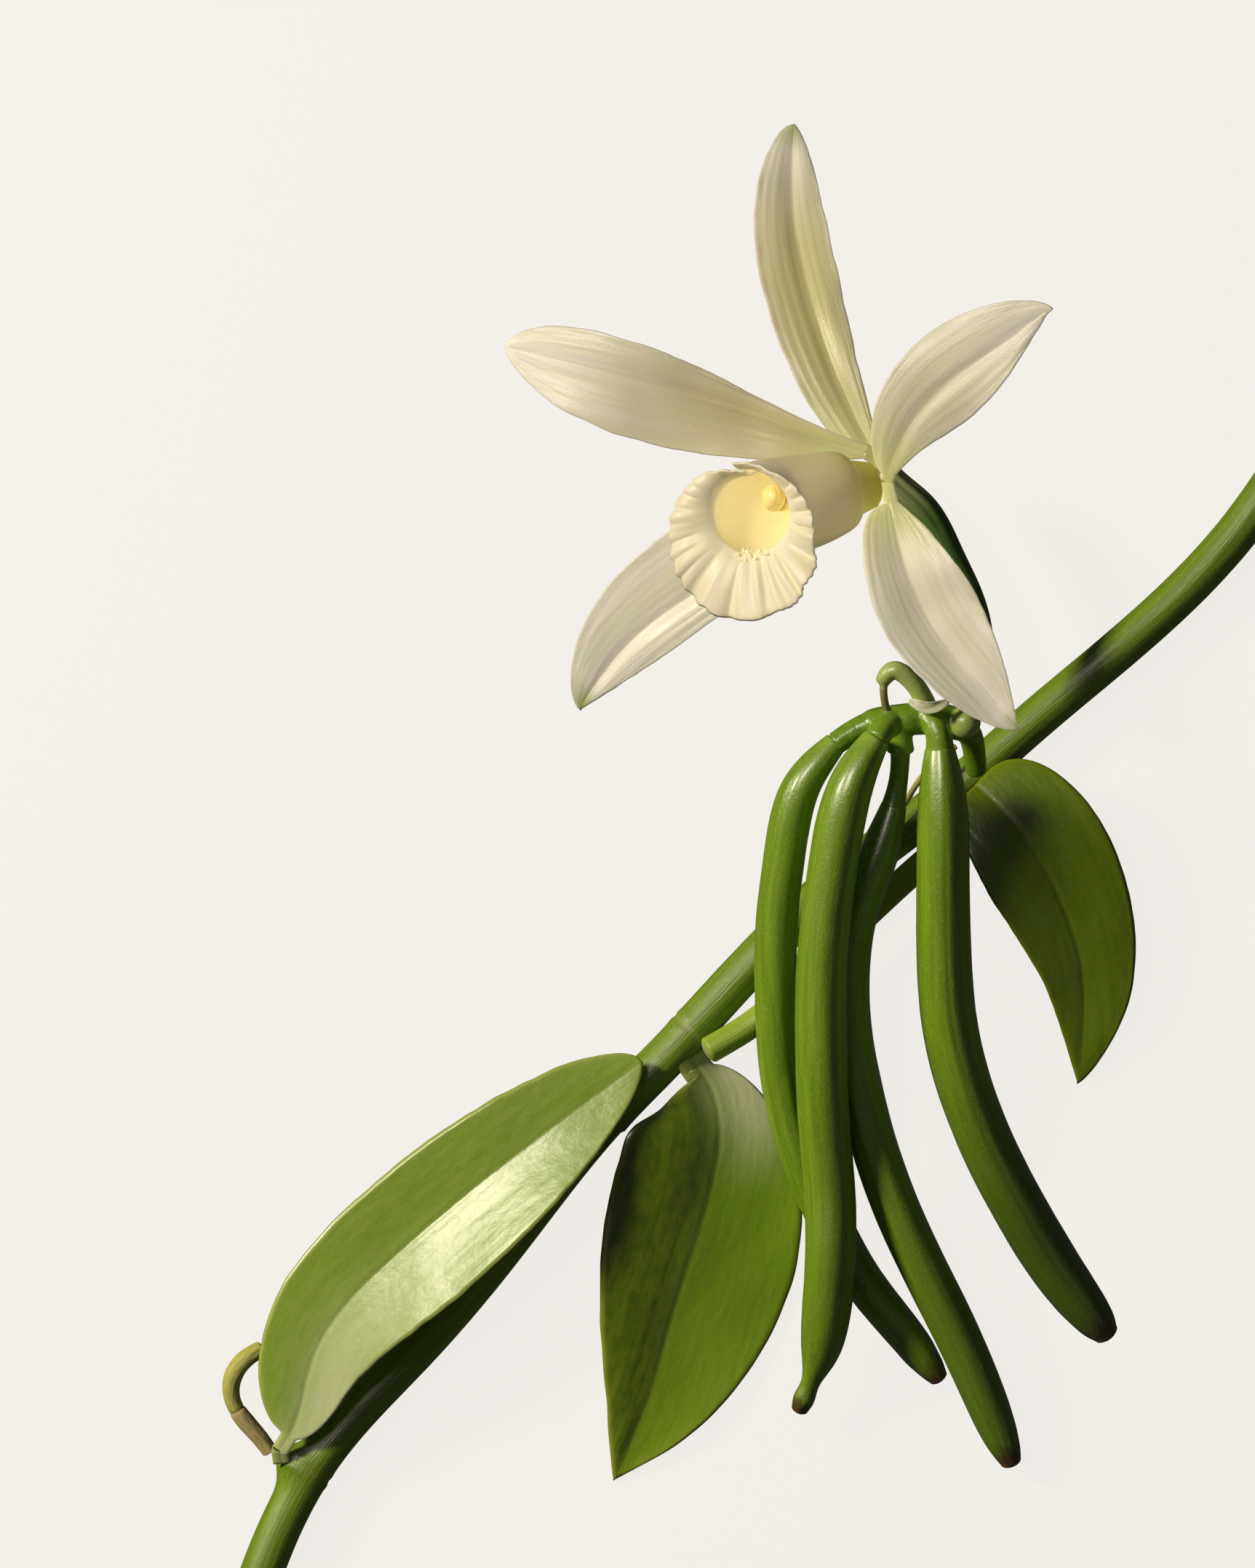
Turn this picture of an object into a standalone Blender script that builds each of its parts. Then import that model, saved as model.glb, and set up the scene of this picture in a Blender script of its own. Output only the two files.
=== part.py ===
"""A cut sprig of vanilla vine, lying flat: the vine with three leaves, a side shoot and two
aerial roots, and a flower stalk that carries four green pods and one open flower.

Lengths are millimetres until add_mesh turns them to metres. X runs to the right of the
sprig, Y to the tip of the upright sepal, Z away from the table, which is at z = 0.
"""

import math

import bpy
import numpy as np
from mathutils import Matrix

MM = 0.001
# A domed end's rings: their share of the last radius, and how far past the end they lie.
DOME = [(0.8, 0.28), (0.42, 0.46)]

# Routes are (x, y, z) points on a centre line. Radii are (place along it from 0 to 1, radius).
# SIDES are round a stalk, RINGS or ROWS along a piece, and COLUMNS across it.
VINE_SIDES = 12
VINE_RINGS = 48
VINE_RADIUS = 4.35
VINE_ROUTE = [
    (109.77, 89.6, 4.15), (97, 71, 4.2), (76, 49.5, 4.6), (53.5, 30.5, 5.2), (37.5, 16.5, 5.6),
    (12, -3.5, 5.6), (-11, -26.5, 5.8), (-23, -39.5, 5.8), (-31, -47.5, 5.6), (-53, -74.5, 5),
    (-73.5, -99, 4.8), (-92.5, -120, 4.7), (-101, -134.5, 4.3), (-108.5, -153.7, 4.15),
]
# Where the vine swells, and by how much, and how far each swelling reaches along it.
VINE_NODES = [(0.535, 0.7), (0.885, 1.2)]
NODE_REACH = 0.03

SHOOT_SIDES = 8
SHOOT_RINGS = 14
SHOOT_PROFILE = [(0, 2.8), (1, 2.8)]
SHOOT_ROUTE = [(-12.5, -36.5, 10.2), (-3.5, -31, 9.4), (12, -16.5, 9.2), (27, -2, 9), (47, 15, 7.6)]

ROOT_SIDES = 10
ROOT_RINGS = 14
ROOT_PROFILE = [(0, 1.9), (0.3, 2.1), (0.55, 1.8), (0.62, 2.05), (1, 2.2)]
ROOT_ROUTE = [
    (-105.5, -98.5, 10), (-108.5, -100.5, 10.5), (-111.3, -105, 10), (-111, -109.5, 9),
    (-108.5, -113.5, 8), (-105.5, -117, 7), (-103.6, -119.6, 6.4),
]
THIN_ROOT_SIDES = 6
THIN_ROOT_PROFILE = [(0, 0.65), (1, 0.6)]
THIN_ROOT_ROUTE = [(38, 26, 12.8), (31, 19.6, 12.6), (27.9, 14.7, 12.2), (22, 6.5, 11.6)]

POD_SIDES = 12
POD_RINGS = 24
POD_ANGLES = 0.035
POD_PROFILE = [
    (0, 0.55), (0.03, 0.66), (0.08, 0.82), (0.18, 0.93), (0.35, 1), (0.6, 1.02), (0.8, 1),
    (0.9, 0.93), (0.95, 0.82), (0.985, 0.62), (1, 0.46),
]
PODS = {
    "pod_left": (4.35, [
        (12.5, 26, 29.2), (6.5, 18.5, 28.6), (3, 6, 26.2), (1, -10.5, 22.4), (1, -27, 18.2),
        (2, -40.5, 14), (5, -54, 10), (11.2, -70, 6.6), (19.5, -85, 5), (27, -94.5, 4.25),
        (34.8, -104.6, 2.9),
    ]),
    "pod_front": (5.2, [
        (20.9, 26.7, 34), (17.5, 21, 34.2), (13.8, 9, 33), (11.7, -4.5, 31), (10.3, -19, 28.5),
        (10.2, -36, 25.5), (10.8, -51, 21.5), (12, -66, 17.9), (12.2, -78, 16.8),
        (11.5, -90, 13.5), (10.2, -99, 10.5), (6, -111, 7),
    ]),
    "pod_middle": (4.7, [
        (24.9, 13, 24.5), (22.2, 4.5, 23), (18, -6, 21), (15.9, -18, 19), (15.9, -30, 17.6),
        (18, -43.5, 16), (21.8, -58, 14), (27, -72, 12), (33.2, -85, 10.4),
        (39.4, -97.5, 8.6), (44.7, -109.5, 6.4), (49.8, -122, 4.2),
    ]),
    "pod_right": (5.6, [
        (34.5, 24.5, 31.5), (34.9, 18, 31), (35.2, 3, 29), (35.4, -14, 25), (36.6, -30, 20.5),
        (39.9, -44, 16.5), (45, -57, 13), (51.8, -70, 9.6), (59.2, -82, 6.4), (69.6, -95.5, 3.4),
    ]),
}

# A blade's sides are (greatest half-width, p, q): its half-width goes as t**p * (1 - t)**q
# from base to tip, with left and right as seen from above, looking along its route. base is
# added at the foot, cup lifts the edges, wave ripples them, and roll tips it, in degrees.
# stalk is the share of the route that is the narrow foot of the leaf.
EDGE_THINNING = 0.45
WAVES = 1.6
WAVE_SHIFT = 1.2
LEAST_HALF_WIDTH = 0.6
LEAF_ROWS = 17
LEAF_COLUMNS = 9
LEAF_THICKNESS = 1.0
LEAVES = {
    "leaf_left": dict(
        route=[(-101.4, -119.4, 10.2), (-99, -115.5, 11.2), (-94.5, -100.5, 14), (-78, -79.5, 16),
               (-51, -57, 16), (-26.5, -39, 13.2)],
        left=(13.8, 0.46, 0.5), right=(15.3, 0.7, 0.72), base=1.8, cup=2.8,
        roll=[(0, 0), (0.4, 6), (1, 0)], wave=0.6, stalk=0.035,
    ),
    "leaf_lower": dict(
        route=[(-14.6, -40.2, 8.6), (-12.6, -43.5, 7.6), (-11.2, -60, 6.6), (-18, -84, 5.4),
               (-25, -108, 3.6), (-32.5, -126, 0.8)],
        left=(21.8, 0.9, 1.05), right=(19.8, 0.42, 0.95), base=3.5, cup=0.5,
        roll=[(0, 20), (0.35, 13), (1, 0)], wave=0.5, stalk=0.02,
    ),
    "leaf_right": dict(
        route=[(42, 18, 11.6), (48.8, 11.5, 13), (58.5, -3, 11.6), (64.2, -19.5, 8),
               (63.6, -43.8, 1.6)],
        left=(14.3, 0.42, 0.8), right=(12, 0.55, 1.05), base=3.2, cup=0.8,
        roll=[(0, 0), (0.5, 6), (1, 0)], wave=0.5, stalk=0,
    ),
}

TEPAL_ROWS = 15
TEPAL_COLUMNS = 7
TEPAL_THICKNESS = 0.8
TEPALS = {
    "sepal_top": dict(
        route=[(20.7, 86.8, 27.2), (13.5, 102, 24.4), (7.5, 120, 18), (4.5, 136.5, 9.5), (5, 155, 0.9)],
        left=(8.9, 0.5, 0.5), right=(7, 1, 0.75), base=1.6, cup=1.5,
        roll=[(0, 0), (1, 0)], wave=0.5, stalk=0,
    ),
    "petal_left": dict(
        route=[(19.2, 86.6, 28.6), (3, 92.2, 28), (-15, 98, 28.6), (-36, 103.2, 30), (-54.8, 108, 26)],
        left=(12.1, 1, 0.75), right=(7.8, 1.7, 0.55), base=1.6, cup=1.2,
        roll=[(0, 0), (1, 0)], wave=0.6, stalk=0,
    ),
    "petal_right": dict(
        route=[(23.9, 81.8, 28.6), (28, 91.5, 31), (36, 100.5, 34), (46.5, 108, 37.5),
               (57.4, 115.6, 40)],
        left=(10.3, 0.75, 0.65), right=(8.4, 1.3, 1.45), base=1.6, cup=2.2,
        roll=[(0, 0), (1, 0)], wave=0.7, stalk=0,
    ),
    "sepal_lower_right": dict(
        route=[(24.4, 76, 29.6), (25.8, 69, 32.5), (30.8, 54, 34), (40.5, 40.5, 35), (50.5, 29.5, 34)],
        left=(11, 1, 1.1), right=(8.8, 0.5, 0.65), base=1.6, cup=1,
        roll=[(0, 0), (1, 0)], wave=0.4, stalk=0,
    ),
    "sepal_lower_left": dict(
        route=[(18.5, 79.2, 22), (3, 69, 20), (-15, 58.2, 15), (-30, 46.5, 9), (-39.4, 33.6, 2)],
        left=(7.1, 1.75, 1.1), right=(13.7, 0.45, 0.6), base=1.6, cup=1,
        roll=[(0, 0), (1, 0)], wave=0.4, stalk=0,
    ),
}

# The lip is a trumpet rolled round the column, its margins lapping at the seam angle by an
# angle in radians and a step in radius, below zero as the first margin lies inside. Its
# ruffled rim spreads from the throat by LIP_REACH on average, and further at the lower lobe
# and to the left.
LIP_THICKNESS = 0.6
LIP_ROUTE = [(20.6, 79.4, 29.4), (14, 78, 32.6), (6.5, 75.7, 36.2), (-1, 74.2, 40.4), (-4.6, 73.5, 47)]
LIP_RADIUS = [(0, 4), (0.18, 5.8), (0.42, 8.8), (0.72, 9.6), (1, 8.6)]
LIP_ROWS = 9
LIP_COLUMNS = 34
# The rim past the throat: (share of its reach, how far forward).
LIP_FLARE = [(0.14, 1.4), (0.4, 2.6), (0.7, 3.5), (1, 4.2)]
LIP_REACH = 7.3
LIP_LOBE = 5.7
LIP_LEAN = 2.1
LIP_OVERLAP = 0.3
LIP_STEP = -1.5
LIP_SEAM_ANGLE = 8
LIP_RUFFLE = 0.9
LIP_RUFFLES = 11

COLUMN_SIDES = 8
COLUMN_RINGS = 9
COLUMN_PROFILE = [(0, 1.7), (0.5, 1.7), (0.85, 2.2), (1, 2)]
COLUMN_ROUTE = [(20, 79.5, 29.2), (13.5, 78, 30.8), (6, 76.8, 34.5), (0, 76.4, 40)]

OVARY_SIDES = 10
OVARY_RINGS = 14
OVARY_PROFILE = [(0, 2.4), (0.12, 3.1), (0.3, 3.4), (0.6, 3.1), (1, 2.9)]
OVARY_ROUTE = [
    (21.4, 84.4, 24), (26.6, 78.9, 23.5), (31, 74.8, 23), (36.4, 65.2, 22.5), (40.4, 57, 23),
    (42.6, 48, 24.5), (42.2, 40.6, 26),
]

# Stalks of the raceme: (route, radius along it, sides, whether each end is domed).
STALK_RINGS = 11
RACEME_STALKS = [
    ([(42.3, 21.2, 15.4), (41.7, 25.5, 19), (39.8, 29.5, 25), (34.5, 31.6, 28.5), (26.2, 31.4, 29.8),
      (19.3, 30.2, 29.4), (13.4, 26.8, 29.4)],
     [(0, 2.2), (0.3, 2.7), (0.5, 3.4), (0.7, 3.3), (0.9, 2.5), (1, 2.4)], 12, (True, False)),
    ([(25.5, 31.6, 30), (23, 29.6, 33), (21.5, 27.8, 34)], [(0, 2.6), (1, 2.6)], 10, (True, False)),
    ([(26.2, 31, 30), (26.4, 24.8, 28), (26.1, 19.5, 26), (25.1, 13.9, 24.7)],
     [(0, 3), (0.3, 2.4), (0.6, 2), (1, 2.5)], 10, (True, False)),
    ([(31.5, 32.6, 30.5), (33.8, 29.4, 32), (34.5, 25.3, 31.6)], [(0, 2.6), (0.5, 2.6), (1, 3)], 10,
     (True, False)),
    ([(32.5, 32.5, 29.5), (31, 36, 31.5), (28, 40, 33.2), (24.9, 41.6, 33.6), (22.6, 39.3, 33)],
     [(0, 2.2), (0.4, 2), (0.8, 1.9), (1, 1.5)], 10, (True, True)),
    ([(22.9, 39.6, 33.2), (22.9, 37, 33.4), (23.6, 33, 31.6)], [(0, 0.9), (0.5, 0.8), (1, 0.9)], 8,
     (True, True)),
    ([(39.4, 31.6, 26.8), (41.2, 35.4, 26.9), (42.1, 40, 26.1)], [(0, 2.6), (1, 2.7)], 10,
     (True, False)),
]
BUD_CENTRE = (39.4, 30.6, 29.4)
BUD_RADII = (2.6, 3, 2.4)
BRACT_ROWS = 9
BRACT_COLUMNS = 5
BRACT_THICKNESS = 0.5
BRACT = dict(
    route=[(28, 35.4, 34.6), (31.8, 34, 34.9), (36.8, 35.9, 33.6)],
    left=(1.1, 0.7, 0.9), right=(1.3, 0.9, 0.8), base=0.5, cup=0.6,
    roll=[(0, 0), (1, 0)], wave=0, stalk=0,
)

COLOURS = {
    "vine": ("5A7D32", 0.4), "shoot": ("5A7D32", 0.4), "root": ("B4B45A", 0.6),
    "pod": ("6B8C30", 0.35), "leaf": ("54761C", 0.35), "tepal": ("E1DCC3", 0.5),
    "lip": ("F5EBC3", 0.55), "column": ("F0DC8C", 0.5), "ovary": ("3F5A16", 0.4),
    "raceme": ("6F8F3A", 0.45), "bract": ("E4E6BE", 0.5),
}


def spline(points, count):
    """Natural cubic spline through the points, sampled evenly along its chords."""
    p = np.array(points, float)
    s = np.concatenate([[0], np.cumsum(np.linalg.norm(np.diff(p, axis=0), axis=1))])
    h = np.diff(s)
    last = len(p) - 1
    left = np.eye(len(p))
    right = np.zeros_like(p)
    for i in range(1, last):
        left[i, i - 1:i + 2] = h[i - 1], 2 * (h[i - 1] + h[i]), h[i]
        right[i] = 6 * ((p[i + 1] - p[i]) / h[i] - (p[i] - p[i - 1]) / h[i - 1])
    m = np.linalg.solve(left, right)
    at = np.linspace(0, s[-1], count)
    k = np.clip(np.searchsorted(s, at, side="right") - 1, 0, last - 1)
    a = ((s[k + 1] - at) / h[k])[:, None]
    b = 1 - a
    bend = (a**3 - a) * m[k] + (b**3 - b) * m[k + 1]
    return a * p[k] + b * p[k + 1] + bend * (h[k] ** 2)[:, None] / 6


def along(knots, t):
    """Value at t of the smooth curve through (t, value) knots."""
    curve = spline(knots, 200)
    return np.interp(t, curve[:, 0], curve[:, 1])


def unit(v):
    return v / np.linalg.norm(v, axis=-1, keepdims=True)


def frames(path):
    """Tangent, side and up vectors at each point, with side level and up away from the table."""
    tangent = unit(np.gradient(path, axis=0))
    side = unit(np.cross(tangent, (0, 0, 1)))
    return tangent, side, np.cross(side, tangent)


def even_steps(route, t):
    """Points of the smooth route at the fractions t of its length."""
    fine = spline(route, 400)
    s = np.concatenate([[0], np.cumsum(np.linalg.norm(np.diff(fine, axis=0), axis=1))])
    s /= s[-1]
    return np.stack([np.interp(t, s, fine[:, i]) for i in range(3)], axis=1)


def finish(kind):
    material = bpy.data.materials.get(kind) or bpy.data.materials.new(kind)
    colour, roughness = COLOURS[kind]
    material.use_nodes = True
    shader = material.node_tree.nodes["Principled BSDF"]
    shade = [int(colour[i:i + 2], 16) / 255 for i in (0, 2, 4)]
    linear = [c / 12.92 if c <= 0.04045 else ((c + 0.055) / 1.055) ** 2.4 for c in shade]
    shader.inputs["Base Color"].default_value = (*linear, 1)
    shader.inputs["Roughness"].default_value = roughness
    shader.inputs["Metallic"].default_value = 0
    return material


def add_mesh(name, points, faces, kind):
    """Object from points in millimetres; what would sink into the table is cut flat on it."""
    points = np.array(points, float)
    points[:, 2] = np.maximum(points[:, 2], 0)
    mesh = bpy.data.meshes.new(name)
    mesh.from_pydata((points * MM).tolist(), [], faces)
    mesh.shade_smooth()
    mesh.materials.append(finish(kind))
    obj = bpy.data.objects.new(name, mesh)
    bpy.context.scene.collection.objects.link(obj)
    return obj


def tube(name, route, radius, sides, rings, kind, angles=0, domed=(True, True)):
    """A stalk: rings round the route, flat or domed at each end, and bluntly three-angled
    in section where angles is over zero."""
    even = np.linspace(0, 1, rings)
    t = (even + 0.5 - 0.5 * np.cos(math.pi * even)) / 2
    path = even_steps(route, t)
    r = along(radius, t)
    tangent, side, up = frames(path)
    before = [(path[0] - tangent[0] * r[0] * push, r[0] * scale) for scale, push in DOME[::-1]]
    after = [(path[-1] + tangent[-1] * r[-1] * push, r[-1] * scale) for scale, push in DOME]
    rows = before * domed[0] + list(zip(path, r)) + after * domed[1]
    pick = np.arange(len(rows)) - len(before) * domed[0]
    pick = np.clip(pick, 0, rings - 1)
    centre = np.array([row[0] for row in rows])
    size = np.array([row[1] for row in rows])
    turn = (np.arange(sides) + 0.5) * math.tau / sides
    shape = size[:, None] * (1 + angles * np.cos(3 * (turn - math.pi / 2)))
    across = (shape * np.cos(turn))[..., None] * side[pick][:, None]
    outward = (shape * np.sin(turn))[..., None] * up[pick][:, None]
    points = (centre[:, None] + across + outward).reshape(-1, 3)
    top = (len(rows) - 1) * sides
    faces = [tuple(range(sides)), tuple(range(top + sides - 1, top - 1, -1))]
    for i in range(len(rows) - 1):
        for j in range(sides):
            a, b = i * sides + j, i * sides + (j + 1) % sides
            faces.append((a, a + sides, b + sides, b))
    return add_mesh(name, points, faces, kind)


def sheet(name, grid, thickness, kind):
    """A thin closed solid about a grid of points, with both faces split into triangles alike."""
    rows, columns = grid.shape[:2]
    down, across = np.gradient(grid, axis=(0, 1))
    normal = unit(np.cross(across, down))
    half = normal * np.broadcast_to(thickness, grid.shape[:2])[..., None] / 2
    points = np.concatenate([(grid + half).reshape(-1, 3), (grid - half).reshape(-1, 3)])
    under = rows * columns
    faces = []
    for i in range(rows - 1):
        for j in range(columns - 1):
            a = i * columns + j
            b, c, d = a + 1, a + columns + 1, a + columns
            faces += [(a, b, c), (a, c, d)]
            faces += [(under + a, under + c, under + b), (under + a, under + d, under + c)]
    rim = [i * columns for i in range(rows)]
    rim += [(rows - 1) * columns + j for j in range(1, columns)]
    rim += [i * columns + columns - 1 for i in range(rows - 2, -1, -1)]
    rim += list(range(columns - 2, 0, -1))
    for a, b in zip(rim, rim[1:] + rim[:1]):
        faces += [(a, b, under + b), (a, under + b, under + a)]
    return add_mesh(name, points, faces, kind)


def half_width(t, side, base, stalk):
    widest, p, q = side
    peak = (p / (p + q)) ** p * (q / (p + q)) ** q
    t = np.maximum(t - stalk, 0) / (1 - stalk)
    return np.maximum(base * (1 - t) ** 4 + widest * t**p * (1 - t) ** q / peak, LEAST_HALF_WIDTH)


def blade(name, shape, thickness, rows, columns, kind):
    """A leaf or a tepal: a cupped, slightly wavy strip about its midrib."""
    t = 0.5 - 0.5 * np.cos(math.pi * np.linspace(0, 1, rows))
    path = even_steps(shape["route"], t)
    tangent, side, up = frames(path)
    roll = np.radians(along(shape["roll"], t))[:, None]
    right, above = side * np.cos(roll) + up * np.sin(roll), up * np.cos(roll) - side * np.sin(roll)
    s = np.linspace(-1, 1, columns)
    left_half = half_width(t, shape["left"], shape["base"], shape["stalk"])[:, None]
    right_half = half_width(t, shape["right"], shape["base"], shape["stalk"])[:, None]
    x = s * np.where(s < 0, left_half, right_half)
    swell = np.sin(math.pi * t)[:, None]
    ripple = np.sin(math.tau * WAVES * t[:, None] + WAVE_SHIFT * np.sign(s))
    z = s**2 * swell * (shape["cup"] + shape["wave"] * ripple)
    grid = path[:, None] + x[..., None] * right[:, None] + z[..., None] * above[:, None]
    return sheet(name, grid, thickness * (1 - EDGE_THINNING * s**2), kind)


def lip():
    """The trumpet: a sheet rolled round the column, its margins lapped, its rim flared."""
    path = even_steps(LIP_ROUTE, np.linspace(0, 1, LIP_ROWS))
    tangent, side, up = frames(path)
    tube_radii = along(LIP_RADIUS, np.linspace(0, 1, LIP_ROWS))
    stations = [(r, 0, 0) for r in tube_radii] + [(tube_radii[-1], *rim) for rim in LIP_FLARE]
    step = np.linalg.norm(path[-1] - path[-2])
    turn = np.linspace(-LIP_OVERLAP / 2, math.tau + LIP_OVERLAP / 2, LIP_COLUMNS)
    angle = turn + math.radians(LIP_SEAM_ANGLE)
    lap = LIP_STEP * (0.5 - np.linspace(0, 1, LIP_COLUMNS))
    reach = LIP_REACH - LIP_LOBE * np.cos(angle) - LIP_LEAN * np.sin(angle)
    depth = np.array([step * min(i, LIP_ROWS - 1) + rim[2] for i, rim in enumerate(stations)])
    width = np.array([radius + share * reach for radius, share, _ in stations])
    slope = np.arctan2(np.gradient(width, axis=0), np.gradient(depth)[:, None])
    grid = []
    for i, (radius, share, forward) in enumerate(stations):
        k = min(i, LIP_ROWS - 1)
        opened = max(0, (i - LIP_ROWS + 3) / (len(stations) - LIP_ROWS + 2))
        ruffle = LIP_RUFFLE * opened**2 * np.sin(LIP_RUFFLES * turn) * np.sin(turn / 2)
        out = radius + share * reach + lap * np.cos(slope[i])
        ahead = forward + ruffle - lap * np.sin(slope[i])
        ring = np.cos(angle)[:, None] * side[k] + np.sin(angle)[:, None] * up[k]
        grid.append(path[k] + out[:, None] * ring + ahead[:, None] * tangent[k])
    return sheet("lip", np.array(grid), LIP_THICKNESS, "lip")


def raceme():
    """The flower stalk: its branches and a bud, joined into one solid."""
    joined = bpy.data.collections.new("raceme_branches")
    bpy.context.scene.collection.children.link(joined)
    branches = [
        tube(f"branch_{i}", route, radius, sides, STALK_RINGS, "raceme", domed=ends)
        for i, (route, radius, sides, ends) in enumerate(RACEME_STALKS)
    ]
    bpy.ops.mesh.primitive_ico_sphere_add(subdivisions=2, radius=1)
    bud = bpy.context.object
    bud.data.transform(Matrix.Diagonal((*BUD_RADII, 1)))
    bud.data.transform(Matrix.Translation(BUD_CENTRE))
    bud.data.transform(Matrix.Scale(MM, 4))
    trunk = branches.pop(0)
    for piece in branches + [bud]:
        for holder in list(piece.users_collection):
            holder.objects.unlink(piece)
        joined.objects.link(piece)
    union = trunk.modifiers.new("union", "BOOLEAN")
    union.operation = "UNION"
    union.operand_type = "COLLECTION"
    union.collection = joined
    graph = bpy.context.evaluated_depsgraph_get()
    mesh = bpy.data.meshes.new_from_object(trunk.evaluated_get(graph))
    trunk.modifiers.clear()
    trunk.data = mesh
    trunk.name = mesh.name = "raceme"
    for piece in branches + [bud]:
        bpy.data.objects.remove(piece)
    bpy.data.collections.remove(joined)


def vine_profile():
    """The vine is even but for a swelling at each node."""
    knots = [(0, VINE_RADIUS)]
    for place, extra in VINE_NODES:
        for step, more in ((-NODE_REACH, 0), (0, extra), (NODE_REACH, 0)):
            knots.append((place + step, VINE_RADIUS + more))
    return knots + [(1, VINE_RADIUS)]


def main():
    for obj in list(bpy.data.objects):
        bpy.data.objects.remove(obj)
    tube("vine", VINE_ROUTE, vine_profile(), VINE_SIDES, VINE_RINGS, "vine", domed=(False, False))
    tube("side_shoot", SHOOT_ROUTE, SHOOT_PROFILE, SHOOT_SIDES, SHOOT_RINGS, "shoot")
    tube("aerial_root", ROOT_ROUTE, ROOT_PROFILE, ROOT_SIDES, ROOT_RINGS, "root", domed=(True, False))
    tube("thin_root", THIN_ROOT_ROUTE, THIN_ROOT_PROFILE, THIN_ROOT_SIDES, ROOT_RINGS, "root")
    for name, (radius, route) in PODS.items():
        knots = [(t, radius * share) for t, share in POD_PROFILE]
        tube(name, route, knots, POD_SIDES, POD_RINGS, "pod", POD_ANGLES, domed=(False, True))
    for name, shape in LEAVES.items():
        blade(name, shape, LEAF_THICKNESS, LEAF_ROWS, LEAF_COLUMNS, "leaf")
    for name, shape in TEPALS.items():
        blade(name, shape, TEPAL_THICKNESS, TEPAL_ROWS, TEPAL_COLUMNS, "tepal")
    lip()
    tube("column", COLUMN_ROUTE, COLUMN_PROFILE, COLUMN_SIDES, COLUMN_RINGS, "column")
    tube("ovary", OVARY_ROUTE, OVARY_PROFILE, OVARY_SIDES, OVARY_RINGS, "ovary", domed=(True, False))
    raceme()
    blade("bract", BRACT, BRACT_THICKNESS, BRACT_ROWS, BRACT_COLUMNS, "bract")


main()
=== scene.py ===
import math

import bpy
import numpy as np
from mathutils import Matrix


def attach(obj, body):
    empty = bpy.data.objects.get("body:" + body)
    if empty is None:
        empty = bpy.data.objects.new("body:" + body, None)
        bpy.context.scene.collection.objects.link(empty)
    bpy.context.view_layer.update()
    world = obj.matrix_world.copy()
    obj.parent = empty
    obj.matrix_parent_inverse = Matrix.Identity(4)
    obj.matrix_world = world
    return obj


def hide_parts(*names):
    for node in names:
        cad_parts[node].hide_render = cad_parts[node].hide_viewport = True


# A cut sprig of vanilla vine on a pale table, seen from straight above. Lengths are millimetres
# until addPiece makes them metres.
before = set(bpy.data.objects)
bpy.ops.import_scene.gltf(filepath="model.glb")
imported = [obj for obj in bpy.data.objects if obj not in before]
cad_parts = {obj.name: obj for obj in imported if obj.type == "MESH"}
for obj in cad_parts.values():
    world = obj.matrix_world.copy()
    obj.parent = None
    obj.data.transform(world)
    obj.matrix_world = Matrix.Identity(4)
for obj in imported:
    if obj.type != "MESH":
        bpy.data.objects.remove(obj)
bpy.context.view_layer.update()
print("frame loaded")

mm = 0.001
leastHeight = 0.02  # mm between the table and whatever lies on it


def spline(points, count):
    # natural cubic spline, sampled evenly along its chords
    p = np.array(points, float)
    s = np.concatenate([[0], np.cumsum(np.linalg.norm(np.diff(p, axis=0), axis=1))])
    h = np.diff(s)
    last = len(p) - 1
    left = np.eye(len(p))
    right = np.zeros_like(p)
    for i in range(1, last):
        left[i, i - 1:i + 2] = h[i - 1], 2 * (h[i - 1] + h[i]), h[i]
        right[i] = 6 * ((p[i + 1] - p[i]) / h[i] - (p[i] - p[i - 1]) / h[i - 1])
    m = np.linalg.solve(left, right)
    at = np.linspace(0, s[-1], count)
    k = np.clip(np.searchsorted(s, at, side="right") - 1, 0, last - 1)
    a = ((s[k + 1] - at) / h[k])[:, None]
    b = 1 - a
    bend = (a**3 - a) * m[k] + (b**3 - b) * m[k + 1]
    return a * p[k] + b * p[k + 1] + bend * (h[k] ** 2)[:, None] / 6


def along(knots, t, stretch=1):
    curve = spline([(place * stretch, value) for place, value in knots], 1200)
    return np.interp(t, curve[:, 0] / stretch, curve[:, 1])


def unit(v):
    return v / np.maximum(np.linalg.norm(v, axis=-1, keepdims=True), 1e-12)


def framesOf(path):
    # tangent, level side and up at each point
    tangent = unit(np.gradient(path, axis=0))
    side = unit(np.cross(tangent, (0, 0, 1)))
    return tangent, side, np.cross(side, tangent)


def evenSteps(route, t):
    fine = spline(route, 3000)
    s = np.concatenate([[0], np.cumsum(np.linalg.norm(np.diff(fine, axis=0), axis=1))])
    s /= s[-1]
    return np.stack([np.interp(t, s, fine[:, i]) for i in range(3)], axis=1)


def arcLength(path):
    return np.concatenate([[0], np.cumsum(np.linalg.norm(np.diff(path, axis=0), axis=1))])


def wobble(x, y, size, seed, octaves=3):
    # smooth seeded relief from -1 to 1 about size mm across
    rng = np.random.default_rng(seed)
    total, most = 0, 0
    for octave in range(octaves):
        for _ in range(5):
            heading, shift = rng.uniform(0, math.tau, 2)
            pitch = size / 2**octave * rng.uniform(0.75, 1.3)
            wave = math.tau * (x * math.cos(heading) + y * math.sin(heading)) / pitch
            total = total + np.sin(wave + shift) / 2**octave
            most += 1 / 2**octave
    return total / most * 2


def bell(x, width):
    return np.exp(-(x / width) ** 2)


def smoothStep(x, low, high):
    x = np.clip((x - low) / (high - low), 0, 1)
    return x * x * (3 - 2 * x)


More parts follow.
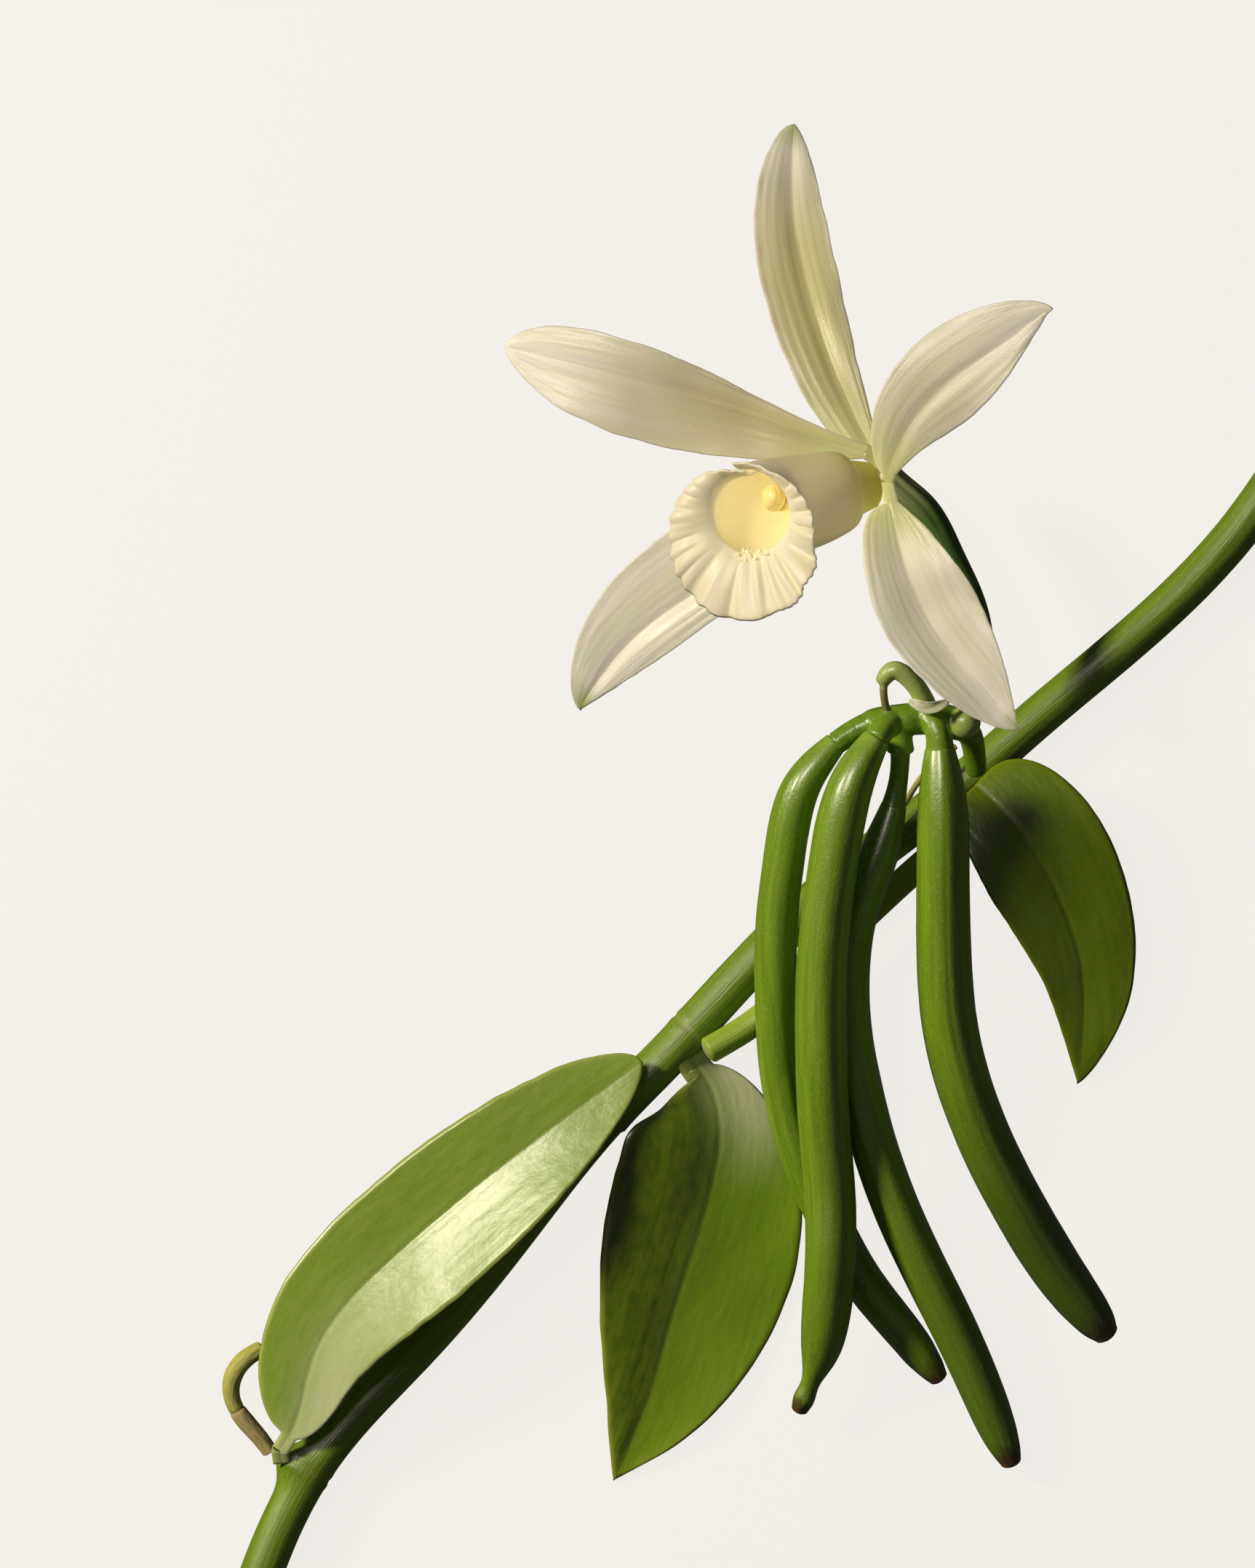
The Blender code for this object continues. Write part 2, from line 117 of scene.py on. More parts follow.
def turnGap(turn, at):
    return (turn - at + math.pi) % math.tau - math.pi


def hexToLinear(code, alpha=True):
    shade = [int(code[i:i + 2], 16) / 255 for i in (0, 2, 4)]
    linear = [c / 12.92 if c <= 0.04045 else ((c + 0.055) / 1.055) ** 2.4 for c in shade]
    return (*linear, 1) if alpha else tuple(linear)


def addNode(tree, kind, settings=None, links=None):
    node = tree.nodes.new(kind)
    for key, value in (settings or {}).items():
        if key == "stops":
            ramp = node.color_ramp
            while len(ramp.elements) < len(value):
                ramp.elements.new(0.5)
            for element, (position, shade) in zip(ramp.elements, value):
                element.position = position
                element.color = hexToLinear(shade) if isinstance(shade, str) else (shade,) * 3 + (1,)
        elif isinstance(key, int) or key in node.inputs:
            node.inputs[key].default_value = value
        else:
            setattr(node, key, value)
    for key, socket in (links or {}).items():
        tree.links.new(socket, node.inputs[key])
    return node


def startMaterial(name, settings):
    # a fresh surface with its shader, and the three marks that addPiece leaves on every point
    material = bpy.data.materials.new(name)
    material.use_nodes = True
    tree = material.node_tree
    tree.nodes.clear()
    shader = addNode(tree, "ShaderNodeBsdfPrincipled", settings)
    addNode(tree, "ShaderNodeOutputMaterial", {}, {"Surface": shader.outputs["BSDF"]})
    place = addNode(tree, "ShaderNodeAttribute", {"attribute_name": "place"}).outputs["Vector"]
    share = addNode(tree, "ShaderNodeSeparateXYZ", {}, {0: addNode(
        tree, "ShaderNodeAttribute", {"attribute_name": "share"}).outputs["Vector"]})
    marks = addNode(tree, "ShaderNodeSeparateXYZ", {}, {0: addNode(
        tree, "ShaderNodeAttribute", {"attribute_name": "marks"}).outputs["Vector"]})
    return material, tree, shader, place, share.outputs, marks.outputs


def stretched(tree, place, scales, shift=0):
    return addNode(tree, "ShaderNodeMapping", {"Scale": scales, "Location": (shift,) * 3},
                   {"Vector": place}).outputs[0]


def patches(tree, place, scales, low, high, shift=0, detail=2.0):
    # noise of the given scales per mm, spread to 0 and 1 between low and high
    noise = addNode(tree, "ShaderNodeTexNoise", {"Scale": 1.0, "Detail": detail, "Roughness": 0.55},
                    {"Vector": stretched(tree, place, scales, shift)})
    return addNode(tree, "ShaderNodeMapRange", {1: low, 2: high, "clamp": True},
                   {0: noise.outputs[0]}).outputs[0]


def spots(tree, place, scales, size, shift=0):
    # small round spots, 1 at their middles
    cells = addNode(tree, "ShaderNodeTexVoronoi", {"Scale": 1.0, "Randomness": 1.0},
                    {"Vector": stretched(tree, place, scales, shift)})
    return addNode(tree, "ShaderNodeMapRange", {1: size, 2: size * 0.4, 3: 0.0, 4: 1.0, "clamp": True},
                   {0: cells.outputs["Distance"]}).outputs[0]


def blendColour(tree, amount, first, second, strength=1.0, kind="MIX"):
    # first and second are hex codes or colour sockets
    settings, links = {"blend_type": kind}, {}
    for key, value in (("Color1", first), ("Color2", second)):
        if isinstance(value, str):
            settings[key] = hexToLinear(value)
        else:
            links[key] = value
    if strength != 1.0:
        amount = addNode(tree, "ShaderNodeMath", {"operation": "MULTIPLY", 1: strength},
                         {0: amount}).outputs[0]
    links["Fac"] = amount
    return addNode(tree, "ShaderNodeMixRGB", settings, links).outputs[0]


def rangeOf(tree, value, low, high, first=0.0, last=1.0):
    return addNode(tree, "ShaderNodeMapRange", {
        1: low, 2: high, 3: first, 4: last, "clamp": True, "interpolation_type": "SMOOTHSTEP",
    }, {0: value}).outputs[0]


def addBump(tree, shader, height, distance, strength=1.0):
    bump = addNode(tree, "ShaderNodeBump", {"Distance": distance, "Strength": strength},
                   {"Height": height})
    tree.links.new(bump.outputs[0], shader.inputs["Normal"])


def loftFaces(rows, sides):
    faces = []
    for i in range(rows - 1):
        a = i * sides + np.arange(sides)
        b = i * sides + (np.arange(sides) + 1) % sides
        faces += np.stack([a, a + sides, b + sides, b], axis=1).tolist()
    top = (rows - 1) * sides
    return faces + [list(range(sides)), list(range(top + sides - 1, top - 1, -1))]


def shellMesh(grid, half):
    # a thin closed skin about a grid of points, with one shared row of points round its edge
    rows, columns = grid.shape[:2]
    down, across = np.gradient(grid, axis=(0, 1))
    normal = unit(np.cross(across, down))
    edge = np.ones((rows, columns), bool)
    edge[1:-1, 1:-1] = False
    offset = normal * half[..., None]
    upper = np.where(edge[..., None], grid, grid + offset)
    index = np.arange(rows * columns).reshape(rows, columns)
    under = index.copy()
    under[1:-1, 1:-1] = rows * columns + np.arange((rows - 2) * (columns - 2)).reshape(rows - 2, -1)
    points = np.concatenate([upper.reshape(-1, 3), (grid - offset)[1:-1, 1:-1].reshape(-1, 3)])
    quads = []
    for net, flip in ((index, False), (under, True)):
        a, b, c, d = net[:-1, :-1], net[:-1, 1:], net[1:, 1:], net[1:, :-1]
        order = (a, d, c, b) if flip else (a, b, c, d)
        quads += np.stack(order, axis=-1).reshape(-1, 4).tolist()
    return points, quads


def bothSides(upper, lower):
    # what each point of a shellMesh is told, in the order of its points
    return np.concatenate([upper.reshape(-1, 3), lower[1:-1, 1:-1].reshape(-1, 3)])


def addPiece(name, points, faces, material, nodes, place=None, share=None, marks=None,
             shades=True):
    points = np.array(points, float)
    points[:, 2] = np.maximum(points[:, 2], leastHeight)
    mesh = bpy.data.meshes.new(name)
    mesh.from_pydata((points * mm).tolist(), [], faces)
    mesh.shade_smooth()
    mesh.materials.append(material)
    for label, values in (("place", place), ("share", share), ("marks", marks)):
        if values is not None:
            layer = mesh.attributes.new(label, "FLOAT_VECTOR", "POINT")
            layer.data.foreach_set("vector", np.asarray(values, np.float32).ravel())
    piece = bpy.data.objects.new(name, mesh)
    bpy.context.scene.collection.objects.link(piece)
    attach(piece, "root")
    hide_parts(*nodes)
    piece.visible_shadow = shades
    return piece


def roundEnd(radius, kind, steps=9):
    # rows past the end of a stalk as (share of its radius, how far past it)
    if kind == "dome":
        angle = np.linspace(0, 0.5 * math.pi, steps + 1)[1:]
        return [(max(math.cos(a), 0.03), 0.49 * radius * math.sin(a)) for a in angle]
    bevel = 0.25  # mm, a knife cut's slightly rounded rim
    rim = [(1 - bevel / radius * (1 - math.cos(a)), bevel * math.sin(a)) for a in (0.5, 1.0, 1.5)]
    return rim + [(share * rim[-1][0], bevel) for share in (0.85, 0.6, 0.35, 0.05)]


def stalk(shape, relief=None):
    # rings of points round a route, with what each point is told for its material
    rings, sides = shape["rings"], shape["sides"]
    even = np.linspace(0, 1, rings)
    t = (even + 0.5 - 0.5 * np.cos(math.pi * even)) / 2
    path = evenSteps(shape["route"], t)
    path[0] = evenSteps(shape["route"], np.array([0.0]))[0]
    tangent, side, up = framesOf(path)
    arc = arcLength(path)
    r = along(shape["radius"], t, shape.get("stretch", 1))
    turn = (np.arange(sides) + 0.5) * math.tau / sides
    angles = shape.get("angles", 0)
    size = r[:, None] * (1 + angles * np.cos(3 * (turn - math.pi / 2)))
    if relief is not None:
        size = size + relief(t[:, None], turn[None], arc[:, None], r[:, None])
    first, last = shape.get("ends", ("dome", "dome"))
    before = roundEnd(r[0], first)[::-1]
    after = roundEnd(r[-1], last)
    pick = np.concatenate([np.zeros(len(before), int), np.arange(rings), np.full(len(after), rings - 1)])
    push = np.concatenate([[-b[1] for b in before], np.zeros(rings), [a[1] for a in after]])
    scale = np.concatenate([[b[0] for b in before], np.ones(rings), [a[0] for a in after]])
    centre = path[pick] + tangent[pick] * push[:, None]
    size = size[pick] * scale[:, None]
    ring = np.cos(turn)[None, :, None] * side[pick][:, None]
    ring = ring + np.sin(turn)[None, :, None] * up[pick][:, None]
    points = centre[:, None] + size[..., None] * ring
    arc = arc[pick] + push
    lengthwise = np.broadcast_to(arc[:, None], size.shape)
    place = np.stack([size * np.cos(turn), size * np.sin(turn), lengthwise], -1)
    share = np.stack(np.broadcast_arrays(t[pick][:, None], turn[None] / math.tau, 1 - scale[:, None]), -1)
    return dict(points=points.reshape(-1, 3), faces=loftFaces(len(pick), sides), t=t[pick], turn=turn,
                place=place.reshape(-1, 3), share=share.reshape(-1, 3))


def stalkPiece(name, shape, material, nodes, relief=None, marks=None, shades=True):
    made = stalk(shape, relief)
    t, turn = np.meshgrid(made["t"], made["turn"], indexing="ij")
    told = np.zeros((t.size, 3)) if marks is None else np.stack(
        [np.broadcast_to(m, t.shape).ravel() for m in marks(t, turn)], -1)
    return addPiece(name, made["points"], made["faces"], material, nodes,
                    made["place"], made["share"], told, shades)


studio = {
    "cameraPlace": (-0.0296, 0.0183, 3.015),
    "lens": 333.95,            # mm on a 36 mm sensor, so the frame is 323 mm high on the sprig
    "keyPlace": (-1.0, 0.42, 0.68), "keySize": 0.22, "keyPower": 15.0,
    "glossPlace": (-0.42, 0.36, 1.1), "glossSize": 0.3, "glossPower": 10.0,
    "rimPlace": (0.7, -0.5, 0.7), "rimSize": 0.7, "rimPower": 0.12,
    "petalPlace": (1.0, -0.1, 0.7), "petalSize": 0.8, "petalPower": 3.9,
    "lampColour": "FFF3DE", "skyStrength": 0.045,
    "tableColour": "3E3D3B", "tableLight": "F2EFEA", "tableGlow": 0.955, "tableSize": 6.0,
}


def aim(thing, target):
    way = np.array(target) - np.array(thing.location)
    thing.rotation_euler = (math.atan2(math.hypot(way[0], way[1]), -way[2]), 0,
                            math.atan2(way[1], way[0]) - math.pi / 2)


def addLamp(name, place, size, power, target=(0, 0, 0.02)):
    data = bpy.data.lights.new(name, "AREA")
    data.shape, data.size, data.energy = "DISK", size, power
    data.color = hexToLinear(studio["lampColour"], alpha=False)
    lamp = bpy.data.objects.new(name, data)
    lamp.location = place
    aim(lamp, target)
    lamp.visible_camera = False
    bpy.context.scene.collection.objects.link(lamp)
    return lamp


def makeStudio():
    data = bpy.data.cameras.new("camera")
    data.lens, data.sensor_width, data.clip_start = studio["lens"], 36.0, 0.05
    camera = bpy.data.objects.new("camera", data)
    camera.location = studio["cameraPlace"]
    bpy.context.scene.collection.objects.link(camera)
    bpy.context.scene.camera = camera
    addLamp("keyLamp", studio["keyPlace"], studio["keySize"], studio["keyPower"])
    gloss = addLamp("glossLamp", studio["glossPlace"], studio["glossSize"], studio["glossPower"])
    gloss.visible_diffuse = False  # it only draws the shine on wax and wet flesh
    addLamp("rimLamp", studio["rimPlace"], studio["rimSize"], studio["rimPower"])
    # light that scatters inside pale flesh and comes out of its shaded side: only they get it
    glow = addLamp("petalLamp", studio["petalPlace"], studio["petalSize"], studio["petalPower"])
    glow.light_linking.receiver_collection = paleFlesh
    world = bpy.data.worlds.new("sky")
    bpy.context.scene.world = world
    world.use_nodes = True
    background = world.node_tree.nodes["Background"]
    background.inputs["Color"].default_value = hexToLinear("FBFBFF")
    background.inputs["Strength"].default_value = studio["skyStrength"]
    bpy.context.scene.view_settings.view_transform = "Standard"
    # matt opal acrylic, lit from below as a light table is: pale and even, with weak shadows
    board = bpy.data.materials.new("opalAcrylicMatt")
    board.use_nodes = True
    shader = board.node_tree.nodes["Principled BSDF"]
    shader.inputs["Base Color"].default_value = hexToLinear(studio["tableColour"])
    shader.inputs["Roughness"].default_value = 0.9
    shader.inputs["Emission Color"].default_value = hexToLinear(studio["tableLight"])
    shader.inputs["Emission Strength"].default_value = studio["tableGlow"]
    half = studio["tableSize"] / 2
    mesh = bpy.data.meshes.new("table")
    mesh.from_pydata([(-half, -half, 0), (half, -half, 0), (half, half, 0), (-half, half, 0)], [],
                     [(0, 1, 2, 3)])
    mesh.materials.append(board)
    table = bpy.data.objects.new("table", mesh)
    table.visible_diffuse = False
    table.visible_glossy = False
    bpy.context.scene.collection.objects.link(table)


paleFlesh = bpy.data.collections.new("paleFlesh")
makeStudio()
print("camera, light and table made")


podForm = {
    "sides": 64, "rings": 330, "angles": 0.035,
    "profile": [(0, 0.56), (0.03, 0.72), (0.08, 0.9), (0.18, 0.97), (0.35, 1.01), (0.6, 1.02)],
    "tip": [(0.8, 1), (0.9, 0.93), (0.95, 0.82), (0.985, 0.62), (1, 0.46)],
    "neckReach": 0.8, "ribDepth": 0.05, "ribPitch": 1.5, "streakLength": 30,
    "uneven": 0.12, "shrivel": 0.16,      # mm, over the whole pod and near its dried tip
    "bankReach": 2.2, "bankRise": 0.45,   # the swollen banks of a groove, in its widths and depths
}
pods = {
    # radius, grooves as (turn, depth, width), how dried the tip is, how much painted shade darkens the
    # lower half
    "pod_left": dict(radius=4.35, grooves=[(1.0, 0.08, 0.10)], dry=0.45, route=[
        (12.5, 26, 29.2), (6.5, 18.5, 28.6), (3, 6, 26.2), (1, -10.5, 22.4), (1, -27, 18.2),
        (2, -40.5, 14), (5, -54, 10), (11.2, -70, 6.6), (19.5, -85, 5), (27, -94.5, 4.25),
        (34.8, -104.6, 2.9)]),
    "pod_front": dict(radius=5.2, grooves=[(2.5, 0.08, 0.10)], dry=0.3, tip=[
        (0.8, 1), (0.87, 0.93), (0.91, 0.76), (0.94, 0.5), (0.962, 0.37), (0.985, 0.42), (1, 0.34)
    ], route=[
        (20.9, 26.7, 34), (17.5, 21, 34.2), (13.8, 9, 33), (11.7, -4.5, 31), (10.3, -19, 28.5),
        (10.2, -36, 25.5), (10.8, -51, 21.5), (12, -66, 17.9), (12.2, -78, 16.8),
        (11.5, -90, 13.5), (10.2, -99, 10.5), (6, -111, 7)]),
    "pod_middle": dict(radius=4.7, grooves=[(0.9, 0.14, 0.10)], dry=0.6, paintedDusk=0.45, route=[
        (24.9, 13, 24.5), (22.2, 4.5, 23), (18, -6, 21), (15.9, -18, 19), (15.9, -30, 17.6),
        (18, -43.5, 16), (21.8, -58, 14), (27, -72, 12), (33.2, -85, 10.4),
        (39.4, -97.5, 8.6), (44.7, -109.5, 6.4), (49.8, -122, 4.2)]),
    "pod_right": dict(radius=5.6, grooves=[(1.66, 0.2, 0.05)], dry=0.6, paintedDusk=0.8, shades=False, route=[
        (34.5, 24.5, 31.5), (34.9, 18, 31), (35.2, 3, 29), (35.4, -14, 25), (36.6, -30, 20.5),
        (39.9, -44, 16.5), (45, -57, 13), (51.8, -70, 9.6), (59.2, -82, 6.4), (69.6, -95.5, 3.4)]),
}


def makePodSkin():
    # fresh vanilla fruit: a smooth waxy cuticle over speckled green flesh, so it has long soft
    # highlights, and fine pale dots and streaks along it
    material, tree, shader, place, share, marks = startMaterial("freshVanillaPodWaxyCuticle", {
        "Roughness": 0.34, "IOR": 1.46, "Subsurface Weight": 0.1,
        "Subsurface Radius": (1.0, 1.0, 0.3), "Subsurface Scale": 0.0015, "Coat Weight": 0.35,
        "Coat Roughness": 0.2,
    })
    streaks = patches(tree, place, (0.9, 0.9, 0.05), 0.3, 0.7)          # about 1 by 20 mm
    broad = patches(tree, place, (0.16, 0.16, 0.03), 0.3, 0.7, shift=7)
    colour = blendColour(tree, streaks, "6A8C10", "8EB128")
    colour = blendColour(tree, broad, colour, "739813", strength=0.5)
    # the cuticle's dots are 0.1 to 0.2 mm: drawn 0.4 mm across so that they show
    dots = spots(tree, place, (1.1, 1.1, 0.8), 0.33)
    colour = blendColour(tree, dots, colour, "A3BE55", strength=0.4)
    fine = patches(tree, place, (3.2, 3.2, 1.6), 0.35, 0.65, shift=3)
    colour = blendColour(tree, fine, colour, "8FAE2C", strength=0.3)
    colour = blendColour(tree, rangeOf(tree, share["X"], 0.03, 0.0), colour, "9CBB48", strength=0.6)
    # marks Z is painted shade that darkens the lower half of the pod
    colour = blendColour(tree, marks["Z"], colour, "3E5410")
    tipTone = blendColour(tree, fine, "3A3414", "5C4A1E")
    colour = blendColour(tree, marks["X"], colour, tipTone)
    colour = blendColour(tree, marks["Y"], colour, "6A4A22")
    tree.links.new(colour, shader.inputs["Base Color"])
    addBump(tree, shader, fine, 0.00006, 0.5)
    return material


def makePod(name, pod, material, seed):
    def relief(t, turn, arc, r):
        x, y = turn * podForm["ribPitch"] * 4, arc / podForm["streakLength"] * podForm["ribPitch"] * 4
        rise = podForm["ribDepth"] * wobble(x, y, podForm["ribPitch"] * 3, seed)
        swell = podForm["uneven"] * wobble(turn * 2, arc / 14, 6.0, seed + 1, 2)
        rise = rise + swell * smoothStep(t, 0.02, 0.15)
        for at, depth, width in pod["grooves"]:
            gap = turnGap(turn, at)
            body = smoothStep(t, 0.02, 0.12) * (1 - smoothStep(t, 0.86, 0.97))
            away = podForm["bankReach"] * width
            banks = bell(gap - away, width) + bell(gap + away, width)
            rise = rise + depth * body * (podForm["bankRise"] * banks - bell(gap, width))
        shrivel = podForm["shrivel"] * smoothStep(t, 0.9, 1.0)
        rise = rise + shrivel * wobble(turn * 3, arc / 6, 2.4, seed + 2, 2)
        return rise * np.minimum(1, r / 4)

    def marks(t, turn):  # dried skin, brown scar, painted shade on the lower half
        patch = wobble(turn * 2, t * 60, 3.5, seed + 3)
        dried = smoothStep(t + 0.012 * patch, 1 - 0.06 * pod["dry"] - 0.01, 1.0)
        scar = smoothStep(t + 0.004 * patch, 0.985, 0.998) * pod["dry"]
        paintedDusk = pod.get("paintedDusk", 0.15) * smoothStep(t, 0.4, 0.85)
        return dried, scar, paintedDusk

    start, second = np.array(pod["route"][:2])
    start = start + unit(start - second) * podForm["neckReach"]  # on into the joint of its stalk
    tip = pod.get("tip", podForm["tip"])
    profile = [knot for knot in podForm["profile"] if knot[0] < tip[0][0]] + tip
    shape = dict(route=[start] + pod["route"][1:], sides=podForm["sides"], rings=podForm["rings"],
                 angles=podForm["angles"], ends=("cut", "dome"), stretch=60,
                 radius=[(t, pod["radius"] * share) for t, share in profile])
    stalkPiece(name + "Skin", shape, material, [name], relief, marks, pod.get("shades", True))


podSkin = makePodSkin()
for i, (name, pod) in enumerate(pods.items()):
    makePod(name, pod, podSkin, 11 + 10 * i)
print("pods made")


vine = {
    "sides": 72, "rings": 460, "ends": ("cut", "cut"),
    "route": [(109.77, 89.6, 4.15), (97, 71, 4.2), (76, 49.5, 4.6), (53.5, 30.5, 5.2),
              (37.5, 16.5, 5.6), (12, -3.5, 5.6), (-11, -26.5, 5.8), (-23, -39.5, 5.8),
              (-31, -47.5, 5.6), (-53, -74.5, 5), (-73.5, -99, 4.8), (-92.5, -120, 4.7),
              (-101, -134.5, 4.3), (-108.5, -153.7, 4.15)],
    "width": 4.35, "length": 395, "nodes": [(0.535, 0.8), (0.9, 2.2)], "nodeReach": 0.034,
    "grooveDepth": 0.1, "flutes": 0.03, "shoulder": (0.902, 0.1, 3.2),  # where, at what turn, how far out
    "ring": [(1.6, 0.16, 0.8), (0, -0.12, 0.55), (-1.5, 0.1, 0.9)],  # mm past the node, rise, width
}


def vineProfile():
    knots = [(0, vine["width"])]
    for place, extra in vine["nodes"]:
        for step, more in ((-vine["nodeReach"], 0), (0, extra), (vine["nodeReach"], 0)):
            knots.append((place + step, vine["width"] + more))
    return knots + [(1, vine["width"])]


def makeVineSkin(name, light, dark, ring):
    # living green stem: smooth and faintly lengthwise grained, softly glossy with its cuticle
    material, tree, shader, place, share, marks = startMaterial(name, {
        "Roughness": 0.4, "IOR": 1.42, "Subsurface Weight": 0.1,
        "Subsurface Radius": (1.0, 1.0, 0.3), "Subsurface Scale": 0.0015,
    })
    streaks = patches(tree, place, (0.7, 0.7, 0.035), 0.3, 0.7)
    grain = patches(tree, place, (2.6, 2.6, 0.12), 0.35, 0.65, shift=5)
    colour = blendColour(tree, streaks, dark, light)
    colour = blendColour(tree, grain, colour, light, strength=0.4)
    dots = spots(tree, place, (0.8, 0.8, 0.5), 0.3)
    colour = blendColour(tree, dots, colour, "A6BC55", strength=0.3)
    colour = blendColour(tree, marks["X"], colour, ring)
    colour = blendColour(tree, rangeOf(tree, share["Z"], 0.1, 0.3), colour, "A9B878")
    tree.links.new(colour, shader.inputs["Base Color"])
    addBump(tree, shader, grain, 0.00008, 0.5)
    return material


def makeVine():
    def relief(t, turn, arc, r):
        rise = vine["grooveDepth"] * wobble(turn * 1.6, arc / 30, 5.0, 71, 2)
        rise = rise + vine["flutes"] * wobble(turn * 5, arc / 18, 2.2, 72)
        for at, _ in vine["nodes"]:
            gap = (t - at) * vine["length"]
            for past, high, wide in vine["ring"]:
                rise = rise + high * bell(gap - past, wide)
        at, facing, out = vine["shoulder"]
        return rise + out * bell((t - at) * vine["length"], 4.5) * bell(turnGap(turn, facing), 0.9)

    def marks(t, turn):
        ring = 0
        for at, _ in vine["nodes"]:
            ring = ring + bell((t - at) * vine["length"], 0.5)
        return 0.6 * ring, 0 * t, 0 * t

    shape = dict(vine, radius=vineProfile())
    stalkPiece("vineStem", shape, makeVineSkin("livingVineStem", "86A42A", "668613", "A3AC55"),
               ["vine"], relief, marks)


shoot = {
    "sides": 48, "rings": 160, "radius": [(0, 2.8), (1, 2.8)],
    "route": [(-12.5, -36.5, 10.2), (-3.5, -31, 9.4), (12, -16.5, 9.2), (27, -2, 9), (47, 15, 7.6)],
}
curledRoot = {
    "sides": 40, "rings": 180, "ends": ("dome", "cut"),
    "radius": [(0, 1.7), (0.3, 1.9), (0.55, 1.65), (0.62, 1.85), (1, 1.6)],
    "route": [(-105.5, -98.5, 10), (-108.5, -100.5, 10.5), (-111.3, -105, 10), (-111, -109.5, 9),
              (-108.5, -113.5, 8), (-105.5, -117, 7), (-103.6, -119.6, 6.4)],
    "jointAt": 0.58,
}
thinRoot = {
    "sides": 24, "rings": 120, "radius": [(0, 0.65), (1, 0.6)],
    "route": [(38, 26, 12.8), (31, 19.6, 12.6), (27.9, 14.7, 12.2), (22, 6.5, 11.6)],
}


def makeRootSkin():
    # aerial root: a dull spongy sheath, pale green at the growing end and tan and papery below
    material, tree, shader, place, _, marks = startMaterial("aerialRootSpongySheath", {
        "Roughness": 0.6, "IOR": 1.4, "Subsurface Weight": 0.15,
        "Subsurface Radius": (1.0, 0.9, 0.4), "Subsurface Scale": 0.0015,
    })
    grain = patches(tree, place, (1.8, 1.8, 0.5), 0.3, 0.7)
    fresh = blendColour(tree, grain, "B0B446", "CECB70")
    papery = blendColour(tree, grain, "BCA868", "D6C58E")
    colour = blendColour(tree, marks["X"], fresh, papery)
    colour = blendColour(tree, marks["Y"], colour, "8E8A46")
    tree.links.new(colour, shader.inputs["Base Color"])
    addBump(tree, shader, grain, 0.00012, 0.6)
    return material


def makeRoots():
    def relief(t, turn, arc, r):
        rise = 0.06 * wobble(turn * 3, arc / 5, 2.4, 81)
        return rise - 0.14 * bell(t - curledRoot["jointAt"], 0.012)

    def marks(t, turn):
        return smoothStep(t, curledRoot["jointAt"] - 0.005, curledRoot["jointAt"] + 0.01), bell(
            t - curledRoot["jointAt"], 0.008), 0 * t

    skin = makeRootSkin()
    stalkPiece("curledRoot", curledRoot, skin, ["aerial_root"], relief, marks)
    stalkPiece("thinRoot", thinRoot, skin, ["thin_root"],
               lambda t, turn, arc, r: 0.06 * wobble(turn * 2, arc, 3.0, 83),
               lambda t, turn: (0.25 + 0 * t, 0 * t, 0 * t))


def makeShoot():
    stalkPiece("sideShoot", shoot, makeVineSkin("youngShootStem", "B2CA4A", "8CAC20", "B9BE64"),
               ["side_shoot"],
               lambda t, turn, arc, r: 0.06 * wobble(turn * 2, arc / 10, 4.0, 85))


makeVine()
makeShoot()
makeRoots()
print("vine, shoot and roots made")


def halfWidth(t, side, base, stalk):
    widest, p, q = side
    peak = (p / (p + q)) ** p * (q / (p + q)) ** q
    t = np.maximum(t - stalk, 0) / (1 - stalk)
    return np.maximum(base * (1 - t) ** 4 + widest * t**p * (1 - t) ** q / peak, 0.2)


